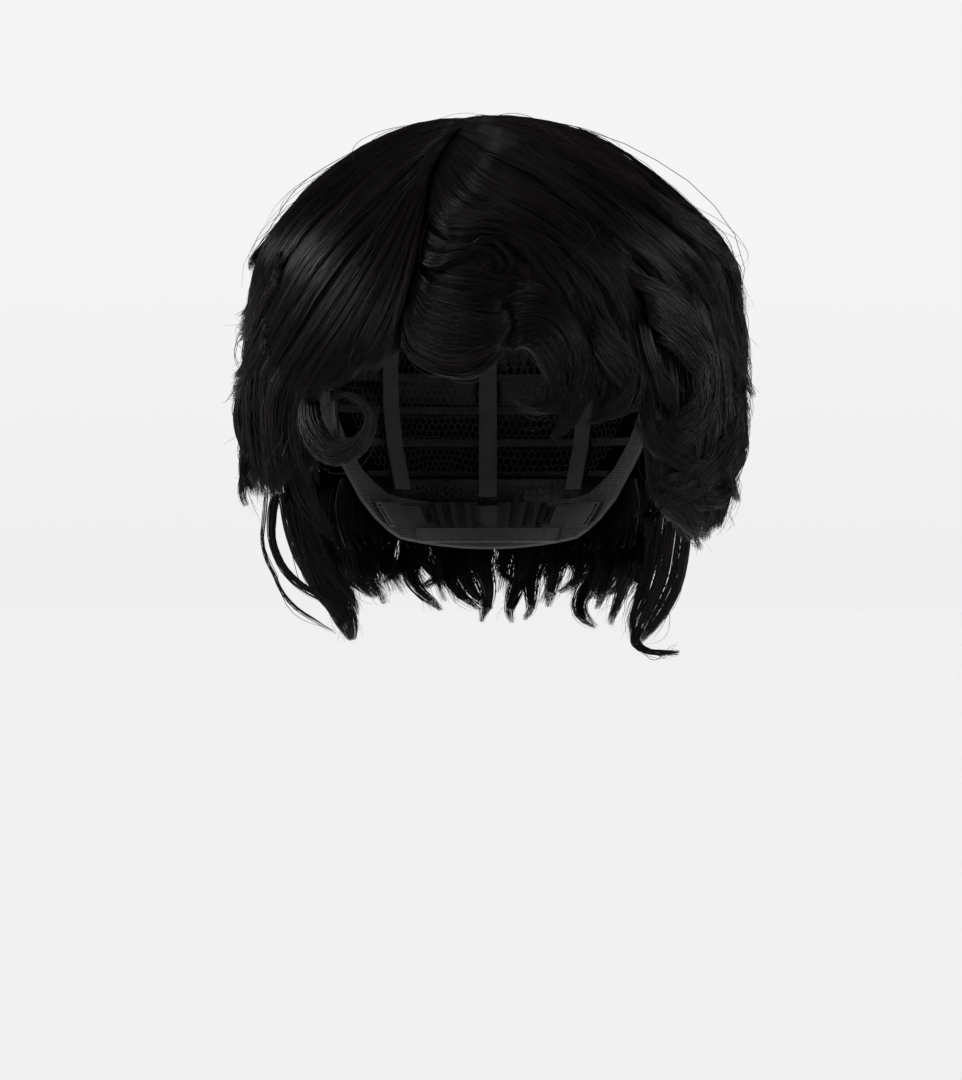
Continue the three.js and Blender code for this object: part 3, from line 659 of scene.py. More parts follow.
# Node, material slot, body, material, and how far its edges are rounded over.
SOFT_NODES = [
    ("front_band", "elastic", "wig", ELASTIC, 0.3),
    ("nape_band", "elastic", "wig", ELASTIC, 0.3),
    *[(f"ribbon_{i}", "elastic", "wig", RIBBON, 0.2) for i in range(1, 6)],
    *[(f"weft_row_{i}", "weft_tape", "wig", TAPE, 0.2) for i in range(1, 9)],
]
for hand in SIDES:
    SOFT_NODES += [
        (f"side_band_{hand}", "elastic", "wig", ELASTIC, 0.3),
        (f"strap_casing_{hand}", "elastic", "wig", ELASTIC, 0.3),
        (f"loop_tape_{hand}", "weft_tape", "wig", TAPE, 0.15),
        (f"ear_tab_{hand}", "elastic", f"ear_tab_{hand}", ELASTIC, 0.3),
        (f"adjuster_strap_{hand}", "elastic", f"adjuster_{hand}", RIBBON, 0.2),
    ]


def cap_rim():
    """The cap's lower edge as sorted azimuths and their lowest heights, in degrees and millimetres."""
    points = np.array([v.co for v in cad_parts["cap_net"].data.vertices]) / MM
    azimuth = np.round(np.degrees(np.arctan2(points[:, 0], -points[:, 1])))
    found = np.unique(azimuth)
    return found, np.array([points[azimuth == a, 2].min() for a in found])


def hexagon_net():
    """Ends of the threads of an even six-sided net on a unit sphere."""
    ball = bmesh.new()
    bmesh.ops.create_icosphere(ball, subdivisions=CELL_SUBDIVISIONS, radius=1)
    ends = [[face.calc_center_median().normalized() for face in edge.link_faces] for edge in ball.edges]
    ball.free()
    return np.array(ends)


def cap_net():
    """Open net over the head, down to the cap's edge."""
    azimuths, heights = cap_rim()
    ends = hexagon_net()
    azimuth = np.degrees(np.arctan2(ends[..., 0], -ends[..., 1]))
    polar = np.degrees(np.arccos(np.clip(ends[..., 2], -1, 1)))
    points = on_layer(azimuth, polar, NET_LAYER, CAP_TUCK)
    inside = (points[..., 2] > np.interp(azimuth, azimuths, heights) + NET_MARGIN).all(1)
    paths = points[inside]
    parts = Parts()
    add_strands(parts, paths, np.full(paths.shape[:2], THREAD_RADIUS), rng.uniform(0, 1, len(paths)))
    finish_piece(parts.build("net_threads"), "wig", "cap_net", NET)


def finish_piece(piece, body, node, material):
    """Gives a piece its material and body, and has it stand for a CAD node."""
    piece.data.materials.clear()
    piece.data.materials.append(material)
    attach(piece, body)
    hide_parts(node)


def soft_copy(node, body, material, edge):
    """A CAD solid's shape with its edges rounded over, for cloth and tape."""
    piece = bpy.data.objects.new("soft_" + node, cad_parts[node].data.copy())
    bpy.context.scene.collection.objects.link(piece)
    rounding = piece.modifiers.new("edges", "BEVEL")
    rounding.width = edge * MM
    rounding.segments = EDGE_SEGMENTS
    rounding.limit_method = "ANGLE"
    rounding.angle_limit = math.radians(EDGE_ANGLE)
    for face in piece.data.polygons:
        face.use_smooth = True
    finish_piece(piece, body, node, material)
    return piece


def nape_pad():
    """The stuffed velvet pad, softly rounded all over."""
    pad = soft_copy("nape_pad", "wig", VELVET, 0.5)
    even = pad.modifiers.new("even", "REMESH")
    even.mode = "VOXEL"
    even.voxel_size = PAD_CELL * MM
    soften = pad.modifiers.new("soften", "SMOOTH")
    soften.factor = 0.5
    soften.iterations = PAD_SOFTENING


def finish_cad_nodes():
    """Gives the CAD nodes that are shown as they are their materials."""
    for hand in SIDES:
        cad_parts[f"ear_stay_{hand}"].data.materials[0] = WIRE
        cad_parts[f"adjuster_hook_{hand}"].data.materials[0] = PLASTIC
    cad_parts["parting_strip"].data.materials[0] = SKIN


# ---------------------------------------------------------------- the front and sides


def crown_front_right(parts):
    """The smooth sweep from the parting down the wearer's right side."""
    sheaf(parts, [
        ring((-150, 105.6, 0.85), (-135, 101, 0.95), (-130, 92, 0.98), (-128, 80, 1), (-126, 60, 1),
             (-124, 36, 1), (-122, 10, 1), (-120, 2, 1)),
        front((-7, 105.5, 0.88), (-17, 105.6, 0.95), (-29, 104, 1), (-50, 96, 1), (-66, 84, 1),
              (-83, 68, 1), (-95, 50, 1), (-100, 34, 1), (-102, 14, 1)),
        front((-10, 101, 0.88), (-24, 94, 0.98), (-43, 82, 1), (-59, 67, 1), (-76, 49, 1), (-88, 30, 1),
              (-95, 18, 1), (-101, 5, 1)),
        front((-14, 98, 0.8), (-27, 87, 0.98), (-43, 70, 1), (-59, 53, 1), (-72, 38, 1), (-82, 22, 1),
              (-91, 8, 1), (-98, -6, 1)),
        front((-18, 91, 0.78), (-27, 80, 0.95), (-42, 60, 1), (-56, 43, 1), (-68, 26, 1), (-77, 12, 1),
              (-86, -1, 1), (-92, -15, 1)),
        front((-21, 87, 0.76), (-28, 75, 0.93), (-38, 58, 0.98), (-49, 41, 1), (-59, 25, 1),
              (-68, 11, 1), (-76, 0, 1), (-83, -13, 1)),
        front((-23, 82, 0.75), (-28, 69, 0.9), (-35, 51, 0.95), (-43, 35, 0.97), (-51, 20, 1),
              (-58, 7, 1), (-65, -3, 1), (-72, -11, 1)),
        front((-24, 77, 0.72), (-28, 61, 0.88), (-33, 43, 0.93), (-38, 27, 0.95), (-43, 15, 0.97),
              (-48, 5, 0.98), (-54, -2, 0.98), (-61, -9, 0.98)),
        front((-25, 70, 0.7), (-28, 55, 0.85), (-31, 39, 0.9), (-34, 25, 0.92), (-37, 15, 0.93),
              (-39, 8, 0.94), (-42, 2, 0.95), (-46, -3, 0.95)),
    ], 2800, ragged=0.09, roots=0.015)
    tresses(parts, (-128, -98), 6, 80, roots=(34, 60), drop=(50, 70), layers=(0.95, 1.03, 1.03), curl=6,
            ripple=0.04)
    flyaways(parts, 12, (-120, -10), (5, 60))


def crown_front_left(parts):
    """The long sweep from the parting over to the wearer's left."""
    sheaf(parts, [
        ring((170, 105.6, 0.85), (138, 102, 0.95), (126, 94, 0.98), (124, 82, 1), (121, 62, 1),
             (118, 36, 1), (114, 8, 1.02), (110, -22, 1.02)),
        ring((150, 105.7, 0.86), (112, 102, 0.97), (103, 94, 0.99), (101, 84, 1), (99, 66, 1),
             (98, 42, 1), (98, 12, 1.02), (97, -20, 1.02)),
        front((-6, 105.8, 0.88), (5, 106.6, 0.96), (26, 105, 1), (45, 98, 1), (64, 86, 1), (83, 72, 1),
              (96, 57, 1), (104, 42, 1), (107, 22, 1), (108, 4, 1.02), (108, -14, 1.02)),
        front((-10, 101.5, 0.88), (5, 98, 0.97), (21, 90, 1), (38, 79, 1), (54, 67, 1), (70, 54, 1),
              (83, 42, 1), (91, 30, 1), (95, 16, 1.02), (97, 0, 1.02)),
        front((-13, 97, 0.8), (1, 87, 1), (17, 78, 1), (33, 67, 1), (49, 53, 1), (64, 39, 1),
              (74, 27, 1), (82, 13, 1)),
        front((-17, 90, 0.78), (-5, 76, 0.98), (9, 67, 1), (25, 58, 1), (41, 44, 1), (54, 30, 1),
              (62, 16, 1), (66, 5, 1), (65, -4, 0.98)),
        front((-20, 84, 0.76), (-11, 69, 0.93), (1, 60, 0.98), (15, 53, 1.02), (29, 42, 1.05),
              (42, 26, 1.05), (50, 11, 1.05), (55, 0, 1.02), (55, -9, 1)),
        front((-24, 74, 0.74), (-19, 60, 0.88), (-7, 57, 0.97), (5, 56, 1.04), (15, 52, 1.06),
              (24, 46, 1.07), (31, 36, 1.07), (38, 23, 1.06), (43, 9, 1.05), (45, -3, 1.03)),
        front((-26, 62, 0.72), (-16, 52, 0.88), (-3, 52, 0.96), (7, 49, 1.02), (15, 44, 1.04),
              (23, 36, 1.05), (29, 26, 1.04), (34, 16, 1.02)),
    ], 4000, ragged=0.25, roots=0.015, core=0.72, wave=1.5, waves=2.2, lumps=1.8, stray=0.05)
    lock(parts, place((-11, -6, 104), (-3, 1, 105.8), (5, 6, 105.6), (14, 12, 103.5)),
         [(13, 3), (15, 3), (15, 3), (8, 2)], 150, core=0.8, facing=(0, 0, 1), twist=0.1)
    tresses(parts, (82, 124), 9, 80, roots=(36, 80), drop=(60, 84), layers=(0.96, 1.03, 1.03), curl=6,
            ripple=0.04)
    for lift in (0, -5, 6, 11):
        lock(parts, ring((56, 68 + lift, 1), (62, 59 + lift, 1.01), (69, 51 + lift, 1.04),
                         (76, 47 + lift, 1.1)),
             [(8, 3), (7, 3), (5, 2), (1, 1)], 50, fray=1.1, core=0)
    flyaways(parts, 22, (10, 120), (5, 60))


def fringe_centre(parts):
    """The wave in the middle of the forehead, with a tuft curled over above it."""
    sheaf(parts, [
        front((-24, 66, 0.6), (-12, 60, 0.7), (4, 56, 0.75), (20, 50, 0.8), (32, 40, 0.8)),
        front((-27, 56, 0.6), (-14, 50, 0.7), (2, 46, 0.75), (18, 40, 0.8), (32, 30, 0.8)),
        front((-29, 46, 0.6), (-17, 38, 0.7), (-2, 36, 0.75), (14, 32, 0.78), (28, 24, 0.8)),
        front((-31, 34, 0.6), (-20, 24, 0.7), (-4, 22, 0.75), (12, 24, 0.78), (26, 16, 0.8)),
        front((-34, 22, 0.6), (-24, 8, 0.68), (-8, 4, 0.7), (8, 12, 0.72), (20, 12, 0.75)),
    ], 700, depth=4)
    sheaf(parts, [
        front((-27, 56, 0.78), (-17, 48, 0.9), (-8, 47, 0.98), (0, 49, 1.04), (6, 46, 1.05),
              (10, 40, 1), (8, 34, 0.95)),
        front((-29, 48, 0.78), (-19, 44, 0.9), (-10, 45, 0.98), (-2, 47, 1.04), (4, 44, 1.04),
              (7, 39, 1), (5, 34, 0.93)),
        front((-30, 42, 0.78), (-22, 38, 0.9), (-14, 41, 0.96), (-7, 44, 1), (-1, 44, 1.01),
              (3, 41, 0.98), (4, 36, 0.93)),
    ], 420, depth=5, pinch=0.6, core=0.8)
    sheaf(parts, [
        front((-30, 42, 0.75), (-25, 33, 0.88), (-15, 29, 0.94), (-5, 27, 1), (4, 24, 1.05), (10, 25, 1)),
        front((-31, 36, 0.76), (-26, 25, 0.9), (-17, 20, 0.97), (-7, 17, 1.02), (2, 17, 1.07),
              (9, 20, 1.02)),
        front((-33, 30, 0.78), (-29, 16, 0.92), (-20, 10, 0.98), (-10, 8, 1.02), (0, 9, 1.07),
              (8, 15, 1.03), (13, 18, 0.97)),
        front((-35, 24, 0.8), (-31, 9, 0.94), (-22, 3, 1), (-12, 0, 1.02), (-2, 2, 1.06), (5, 8, 1.03),
              (11, 12, 0.97)),
        front((-36, 16, 0.82), (-33, 4, 0.95), (-24, -3, 1), (-14, -6, 1.02), (-6, -6, 1.03),
              (0, -2, 1.03), (6, 3, 1), (11, 7, 0.95)),
    ], 1300, depth=6, ragged=0.12, pinch=0.3, lumps=1.4, wave=1.4, stray=0.05)


def fringe_left(parts):
    """The two curls that turn back under, over the wearer's left brow."""
    sheaf(parts, [
        front((12, 34, 0.85), (19, 33, 0.95), (26, 30, 1.05), (34, 22, 1.1), (40, 11, 1.12),
              (43, -1, 1.12), (41, -12, 1.08), (36, -20, 1.04), (31, -27, 1)),
        front((8, 24, 0.82), (17, 25, 0.93), (25, 23, 1.04), (32, 17, 1.1), (37, 7, 1.12),
              (38, -4, 1.12), (35, -15, 1.08), (31, -22, 1.04), (28, -30, 1)),
        front((6, 15, 0.82), (15, 18, 0.93), (23, 17, 1.03), (29, 12, 1.08), (33, 3, 1.1),
              (33, -7, 1.1), (31, -15, 1.06), (27, -21, 1.02)),
        front((7, 7, 0.82), (15, 11, 0.92), (21, 11, 1), (26, 5, 1.05), (29, -4, 1.07), (29, -12, 1.06),
              (25, -18, 1.03), (20, -20, 1)),
        front((9, 4, 0.82), (14, 7, 0.9), (19, 4, 0.97), (22, -3, 1.01), (25, -11, 1.03),
              (24, -17, 1.01), (20, -19, 1), (15, -17, 0.98)),
    ], 1300, depth=6, ragged=0.08, pinch=0.35)
    sheaf(parts, [
        front((40, 24, 0.95), (49, 14, 1.03), (56, 7, 1.08), (60, -1, 1.08), (59, -9, 1.04),
              (54, -15, 1), (47, -19, 0.95), (41, -21, 0.9)),
        front((40, 14, 0.95), (48, 6, 1.03), (54, 0, 1.08), (57, -7, 1.07), (55, -12, 1.03),
              (50, -16, 0.98), (44, -18, 0.92)),
        front((41, 6, 0.95), (47, -2, 1.02), (52, -7, 1.05), (54, -11, 1.04), (51, -14, 1),
              (46, -16, 0.95)),
    ], 600, depth=5, ragged=0.1, pinch=0.2)
    sheaf(parts, [
        front((58, 44, 0.6), (61, 28, 0.72), (62, 12, 0.85), (64, -2, 0.93), (63, -13, 0.95),
              (59, -20, 0.95), (51, -23, 0.93), (43, -25, 0.93), (36, -27, 0.93)),
        front((50, 47, 0.6), (53, 30, 0.7), (54, 14, 0.8), (56, 0, 0.88), (56, -10, 0.9),
              (53, -17, 0.92), (47, -20, 0.9), (40, -22, 0.9)),
        front((40, 49, 0.6), (43, 33, 0.66), (44, 17, 0.75), (46, 2, 0.83), (46, -8, 0.86),
              (44, -14, 0.88), (40, -19, 0.88)),
        front((26, 50, 0.55), (28, 35, 0.62), (30, 20, 0.7), (34, 6, 0.78), (36, -5, 0.82),
              (36, -13, 0.85)),
        front((11, 51, 0.5), (13, 38, 0.58), (16, 24, 0.65), (22, 12, 0.72), (27, 2, 0.78), (29, -6, 0.8)),
    ], 1100, depth=5, ragged=0.06, roots=0.05)


def fringe_tip_left(parts):
    """Tips of the first of these curls, flicked towards the face."""
    lock(parts, front((32, -8, 1.04), (28, -16, 1.03), (21, -19, 1.02), (13, -17, 1.02), (8, -11, 1.02)),
         [(9, 4), (6, 3), (3, 2), (1.5, 1.5), (1, 1)], 60, fray=0.8, core=0)
    lock(parts, front((37, -12, 1.04), (34, -20, 1.02), (30, -26, 1), (25, -30, 1)),
         [(10, 5), (8, 4), (5, 3), (2, 1)], 110, fray=0.6, core=0.4)


def fringe_right(parts):
    """The fringe on the wearer's right, above the ring curl."""
    sheaf(parts, [
        front((-33, 46, 0.65), (-36, 30, 0.75), (-38, 16, 0.8), (-39, 6, 0.85), (-43, -1, 0.88)),
        front((-36, 46, 0.7), (-41, 28, 0.8), (-45, 12, 0.86), (-51, 0, 0.9), (-58, -7, 0.9)),
        front((-44, 46, 0.7), (-52, 26, 0.83), (-58, 8, 0.9), (-65, -6, 0.92), (-71, -14, 0.92)),
        front((-54, 44, 0.7), (-63, 24, 0.83), (-70, 5, 0.9), (-76, -12, 0.92), (-81, -24, 0.92)),
    ], 700, depth=7)


def side_upper_right(parts):
    """Side hair under the sweep, and its flicked tufts."""
    sheaf(parts, [
        ring((-62, 50, 0.6), (-64, 25, 0.8), (-66, 0, 0.88), (-68, -20, 0.9)),
        ring((-80, 50, 0.6), (-82, 25, 0.85), (-84, 0, 0.92), (-86, -22, 0.93)),
        ring((-98, 50, 0.6), (-99, 25, 0.85), (-100, 0, 0.93), (-100, -24, 0.94)),
        ring((-118, 50, 0.6), (-118, 25, 0.85), (-118, 0, 0.93), (-118, -24, 0.94)),
    ], 900, depth=9)
    for lift in (0, -4, 5):
        lock(parts, ring((-60, 42 + lift, 0.99), (-67, 30 + lift, 1), (-75, 21 + lift, 1.03),
                         (-84, 17 + lift, 1.1)),
             [(9, 4), (8, 4), (5, 3), (2, 2)], 90, fray=1.0, core=0)
        lock(parts, ring((-64, 14 + lift, 0.99), (-71, 3 + lift, 1), (-78, -5 + lift, 1.03),
                         (-86, -8 + lift, 1.1)),
             [(9, 4), (8, 4), (5, 3), (2, 2)], 90, fray=1.0, core=0)


def side_lower_right(parts):
    """Hair over the wearer's right ear."""
    sheaf(parts, [
        front((-71, 6, 0.85), (-76, -14, 0.9), (-77, -30, 0.9), (-74, -42, 0.9), (-72, -53, 0.9)),
        front((-80, 7, 0.85), (-86, -8, 0.93), (-88, -22, 0.95), (-87, -36, 0.95), (-83, -49, 0.95)),
        front((-86, 11, 0.88), (-91, -3, 0.97), (-93, -18, 1), (-92, -35, 1), (-90, -48, 1), (-88, -56, 1)),
        front((-92, 16, 0.9), (-97, 3, 0.98), (-98, -14, 1), (-97, -30, 1), (-96, -43, 1), (-96, -52, 1)),
        front((-99, 21, 0.9), (-103, 10, 1), (-104, -2, 1), (-103, -15, 1), (-102, -29, 1),
              (-101, -42, 1), (-100, -52, 1)),
        ring((-104, 12, 0.85), (-104, -10, 0.97), (-104, -30, 1), (-103, -50, 1), (-102, -58, 1)),
        ring((-122, 12, 0.85), (-122, -10, 0.97), (-121, -30, 1), (-119, -50, 1), (-118, -64, 1)),
    ], 1500, depth=8, ragged=0.12)
    tresses(parts, (-74, -112), 7, 70, roots=(-12, 2), drop=(40, 52), layers=(0.95, 1.02, 1.03), curl=6)
    flyaways(parts, 80, (-112, -66), (82, 114), reach=18, lift=(0.05, 0.15))


def ring_curl_right(parts):
    """The ring curl at the wearer's right temple."""
    path = place(
        (-72, -60, -2), (-73, -66, -14), (-72, -71, -24), (-68, -76, -32), (-62, -81, -36), (-55, -85, -35),
        (-50, -87, -30), (-47, -88, -23), (-49, -87, -17), (-54, -85, -13), (-59, -82, -12),
        (-64, -79, -14),
    )
    sizes = [(8, 6), (10, 8), (12, 9), (13, 9), (11, 8), (9, 7), (7, 6), (5, 5), (4, 4), (2.5, 2.5),
             (1.5, 1.5), (1, 1)]
    lock(parts, path, sizes, 420, fray=0.3, core=0.6, twist=0.8)
    lock(parts, place((-61, -74, -7), (-62, -76, -19), (-61, -79, -32)),
         [(3, 2), (3.4, 2), (3, 2)], 36, core=0)


def sideburn_lock_right(parts):
    """The lock in front of the wearer's right ear, flicked at its tip."""
    lock(parts, place((-78, -36, -8), (-80, -38, -25), (-79, -39, -39), (-77, -40, -50), (-73, -41, -58),
                      (-68, -42, -65), (-64, -43, -71)),
         [(8, 5), (10, 6), (10, 6), (10, 6), (9, 5), (6, 3), (1.5, 1)],
         300, fray=0.3, stray=0, facing=(-0.5, -1, 0))
    lock(parts, place((-78, -40, -28), (-77, -41, -42), (-74, -42, -52), (-70, -43, -62), (-68, -43, -66)),
         [(8, 4), (8, 4), (6, 3), (3, 2), (1, 1)], 110, fray=0.5, stray=0, facing=(-0.5, -1, 0), core=0.4)


def nape_lock_right(parts):
    """The long lock behind the wearer's right ear, with two loose loops beside it."""
    lock(parts, place((-82, 33, -50), (-80, 35, -63), (-77, 37, -74), (-73, 39, -82), (-69, 40, -91),
                      (-64, 42, -99), (-60, 43, -107), (-58, 44, -114)),
         [(16, 8), (16, 10), (15, 11), (14, 11), (13, 10), (11, 9), (10, 8), (3, 3)],
         420, fray=0.4, facing=(-0.35, -1, 0), ragged=0.2)
    lock(parts, place((-90, 26, -50), (-92, 28, -61), (-92, 30, -71), (-89, 32, -80), (-85, 34, -86),
                      (-78, 37, -92), (-71, 39, -96), (-66, 41, -101)),
         [(4, 4), (4, 4), (3.6, 3), (3.4, 3), (3.4, 3), (3.4, 3), (3, 3), (2, 2)],
         60, fray=0.35, core=0.3, facing=(-0.35, -1, 0))
    lock(parts, place((-94, 24, -50), (-95, 26, -61), (-96, 28, -71), (-94, 30, -80), (-91, 32, -86),
                      (-88, 34, -93), (-82, 36, -100), (-73, 39, -106), (-65, 42, -111)),
         [(2, 2), (2, 2), (1.6, 1.6), (1.6, 1.6), (1.6, 1.6), (1.6, 1.6), (1.6, 1.6), (1.4, 1.4), (1, 1)],
         16, fray=0.3, core=0)


def side_upper_left(parts):
    """The waves on the wearer's left, from the temple back over the ear."""
    middle = np.array([79, -11])
    curve = np.array([(62, 26), (73, 20), (83, 11), (88, 3), (89, -7), (87, -17), (82, -25), (75, -28),
                      (71, -24)])
    for size, strands in ((1.25, 110), (1.1, 130), (0.95, 130), (0.8, 110), (0.6, 50)):
        turned = middle + (curve - middle) * size + rng.normal(0, 0.8, curve.shape)
        stations = [(x, z, layer) for (x, z), layer in zip(turned, np.linspace(0.97, 1.08, len(curve)))]
        sizes = [(7, 2), (9, 3), (10, 3), (10, 3), (9, 3), (8, 3), (6, 2), (4, 2), (1, 1)]
        lock(parts, front(*stations), sizes, strands, fray=1.5, stray=0.15, core=0.3, twist=0.1)
    sheaf(parts, [
        front((60, 20, 0.9), (63, 5, 1), (66, -5, 1.02), (70, -13, 1.02), (74, -20, 1), (76, -26, 0.97)),
        front((64, 18, 0.9), (68, 6, 1), (71, -2, 1.02), (75, -8, 1), (78, -14, 0.95)),
    ], 260, depth=4, ragged=0.1, pinch=0.5, core=0.85)
    sheaf(parts, [
        front((57, 44, 0.6), (59, 26, 0.7), (61, 8, 0.78), (64, -8, 0.84), (67, -24, 0.86),
              (68, -40, 0.88)),
        front((66, 46, 0.6), (70, 28, 0.72), (73, 10, 0.8), (75, -8, 0.86), (76, -24, 0.88),
              (77, -42, 0.9)),
        front((76, 48, 0.6), (82, 28, 0.76), (88, 7, 0.88), (90, -13, 0.95), (88, -30, 1), (86, -47, 1),
              (86, -60, 1)),
        front((82, 50, 0.6), (89, 30, 0.76), (95, 8, 0.88), (97, -13, 0.95), (96, -30, 1), (93, -46, 1),
              (91, -60, 1)),
        front((89, 52, 0.6), (97, 32, 0.76), (103, 12, 0.88), (104, -13, 0.95), (102, -30, 1),
              (100, -47, 1), (97, -60, 1)),
        front((100, 40, 0.75), (106, 13, 0.88), (108, -4, 0.93), (108, -21, 0.98), (106, -34, 1),
              (104, -46, 1), (101, -58, 1)),
        ring((104, 52, 0.75), (104, 30, 0.85), (104, 8, 0.9), (104, -15, 0.95), (104, -38, 1),
             (104, -58, 1)),
        ring((120, 52, 0.75), (120, 30, 0.85), (120, 8, 0.9), (120, -15, 0.95), (120, -38, 1),
             (120, -56, 1)),
    ], 2400, depth=7, ragged=0.12, roots=0.05)
    tresses(parts, (84, 118), 6, 60, roots=(30, 45), drop=(60, 80), layers=(0.95, 1.03, 1.03), curl=5,
            sway=2)
    flyaways(parts, 150, (52, 112), (62, 100), reach=22, lift=(0.05, 0.15))


def side_lower_left(parts):
    """Hair over the wearer's left ear, cut blunt below it."""
    sheaf(parts, [
        front((66, -12, 0.8), (67, -29, 0.88), (69, -41, 0.9), (69, -50, 0.9), (67, -55, 0.9)),
        front((76, -10, 0.82), (75, -26, 0.9), (75, -42, 0.92), (75, -54, 0.92), (78, -66, 0.92)),
        front((86, -8, 0.85), (85, -26, 0.93), (83, -42, 0.95), (84, -58, 0.95), (85, -73, 0.95)),
        front((95, -6, 0.85), (95, -26, 0.95), (92, -44, 0.97), (92, -58, 0.97), (91, -72, 0.97)),
        front((105, 0, 0.88), (106, -16, 0.98), (105, -34, 1), (102, -52, 1), (97, -66, 1)),
        ring((104, 0, 0.88), (104, -18, 0.98), (104, -38, 1), (104, -56, 1), (104, -70, 1)),
        ring((122, 0, 0.88), (122, -18, 0.98), (120, -38, 1), (118, -56, 1), (116, -72, 1)),
    ], 1500, depth=7, ragged=0.06, pinch=0.1)
    for shift in (-5, 0, 5):
        lock(parts, front((64 + shift, -22, 0.97), (71 + shift, -33, 1.02), (79 + shift, -39, 1.05),
                          (87 + shift / 2, -44, 1.05), (91, -51 + shift, 1.03), (92, -58 + shift, 1.02)),
             [(4, 3), (5, 3), (4, 3), (4, 3), (3, 2), (1, 1)], 36, fray=0.9, core=0)
        lock(parts, front((102, -28 + shift, 1.03), (95, -38 + shift, 1.05), (89, -44 + shift, 1.05),
                          (82, -48 + shift, 1.04), (76, -51, 1.02), (69, -53 - shift, 1)),
             [(5, 3), (5, 3), (4, 3), (4, 2), (3, 2), (1, 1)], 32, fray=0.9, core=0)
        lock(parts, front((99, -50 + shift, 1.02), (88, -52 + shift, 1.03), (79, -50 + shift, 1.02),
                          (73, -51 + shift, 1), (67, -55 + shift, 0.98)),
             [(5, 3), (5, 3), (4, 2), (3, 2), (1, 1)], 30, fray=1.1, core=0)
        lock(parts, front((71, -53 + shift, 1), (79, -59 + shift, 1.02), (84, -64 + shift, 1.02),
                          (88, -70 + shift, 1)),
             [(5, 3), (5, 3), (4, 2), (1, 1)], 34, fray=1.0, core=0)
    tresses(parts, (72, 112), 7, 60, roots=(-22, -8), drop=(34, 46), layers=(0.95, 1.02, 1.02), curl=7,
            sway=3)
    flyaways(parts, 100, (68, 112), (96, 118), reach=18, lift=(0.05, 0.15))


def sideburn_lock_left(parts):
    """The wisp in front of the wearer's left ear."""
    lock(parts, place((77, -36, -12), (75, -37, -28), (71, -40, -42), (67, -43, -52), (63, -45, -58),
                      (60, -46, -62)),
         [(10, 4), (9, 4), (6, 3), (4, 2), (2, 1.5), (1, 1)], 60, fray=0.8, core=0)
    lock(parts, place((75, -36, -40), (71, -38, -54), (67, -41, -62), (64, -43, -70)),
         [(5, 3), (4, 2), (2.5, 2), (1, 1)], 26, fray=0.7, core=0)


def nape_lock_left(parts):
    """The long lock behind the wearer's left ear, in open strands, flicked outwards at its tip."""
    outer = place((85, 33, -56), (84, 35, -74), (81, 37, -90), (75, 39, -102), (68, 41, -111),
                  (64, 42, -115))
    inner = place((72, 35, -56), (69, 37, -72), (67, 39, -84), (64, 40, -95), (61, 41, -105),
                  (62, 42, -114))
    for share, strands, thick in ((0, 120, 4), (0.22, 40, 2.5), (0.45, 110, 4), (0.62, 30, 2),
                                  (0.8, 40, 2.5), (1, 70, 3)):
        path = outer + (inner - outer) * share
        sizes = [(thick, 4), (thick, 4), (thick, 4), (thick * 0.9, 4), (thick * 0.8, 3), (2, 2)]
        lock(parts, path, sizes, strands, fray=0.35, facing=(0.35, -1, 0), core=0.3)
    lock(parts, place((65, 41, -108), (63, 42, -114), (67, 42, -118), (74, 41, -119), (82, 40, -119)),
         [(6, 5), (5, 4), (3, 3), (2, 2), (1, 1)], 60, fray=0.8, core=0)


# ---------------------------------------------------------------- the back

BACK_GUIDES = 6
BACK_SWAY = 2.5  # degrees
BACK_WAVE = 1.9  # radians from one station to the next
BACK_TRESS_STRANDS = 75


def back_guides(azimuths, keys):
    """Guides down the back of the head, each waving from side to side in its own time."""
    guides = []
    for azimuth in azimuths:
        phase = rng.uniform(0, 2 * np.pi)
        stations = []
        for i, (z, layer) in enumerate(keys):
            sway = BACK_SWAY * math.sin(phase + BACK_WAVE * i) * min(1, i / 2)
            stations.append((azimuth + sway, z, layer))
        guides.append(ring(*stations))
    return guides


def back_hair(parts, *, span, keys, strands, locks, style, roots=0.1, core=0.93):
    """One layer of the back over a span of azimuths, with waved tresses on top."""
    guides = back_guides(np.linspace(*span, BACK_GUIDES), keys)
    sheaf(parts, guides, strands, depth=7, ragged=0.2, roots=roots, wave=1.6, lumps=1.4, core=core)
    tresses(parts, span, locks, BACK_TRESS_STRANDS, **style)


# Keys are the (height, layer) stations that the layer of hair hangs through.
CROWN = {
    "keys": [(105.7, 0.85), (101, 0.93), (91, 0.96), (76, 0.97), (58, 0.97), (40, 0.97), (22, 0.97)],
    "strands": 1500,
    "locks": 11,
    "style": {"roots": (84, 96), "drop": (55, 85), "layers": (0.97, 1.03, 1.04), "ripple": 0.04},
    "roots": 0.02,
}
UPPER = {
    "keys": [(52, 0.6), (34, 0.8), (12, 0.88), (-12, 0.9), (-28, 0.92)],
    "strands": 900,
    "locks": 10,
    "style": {"roots": (24, 46), "drop": (45, 66), "layers": (0.85, 1.0, 1.03)},
}
LOWER = {
    "keys": [(4, 0.55), (-16, 0.78), (-36, 0.85), (-54, 0.88), (-68, 0.88)],
    "strands": 900,
    "locks": 10,
    "style": {"roots": (-28, -6), "drop": (40, 52), "layers": (0.82, 0.98, 1.02)},
}
NAPE = {
    "keys": [(-44, 0.3), (-56, 0.45), (-70, 0.55), (-84, 0.62), (-99, 0.7)],
    "strands": 1500,
    "locks": 34,
    "style": {
        "roots": (-64, -50), "drop": (34, 52), "layers": (0.3, 0.6, 0.8), "width": (9, 16), "curl": 7,
    },
    "core": 0.6,
}

# ---------------------------------------------------------------- the pieces of hair

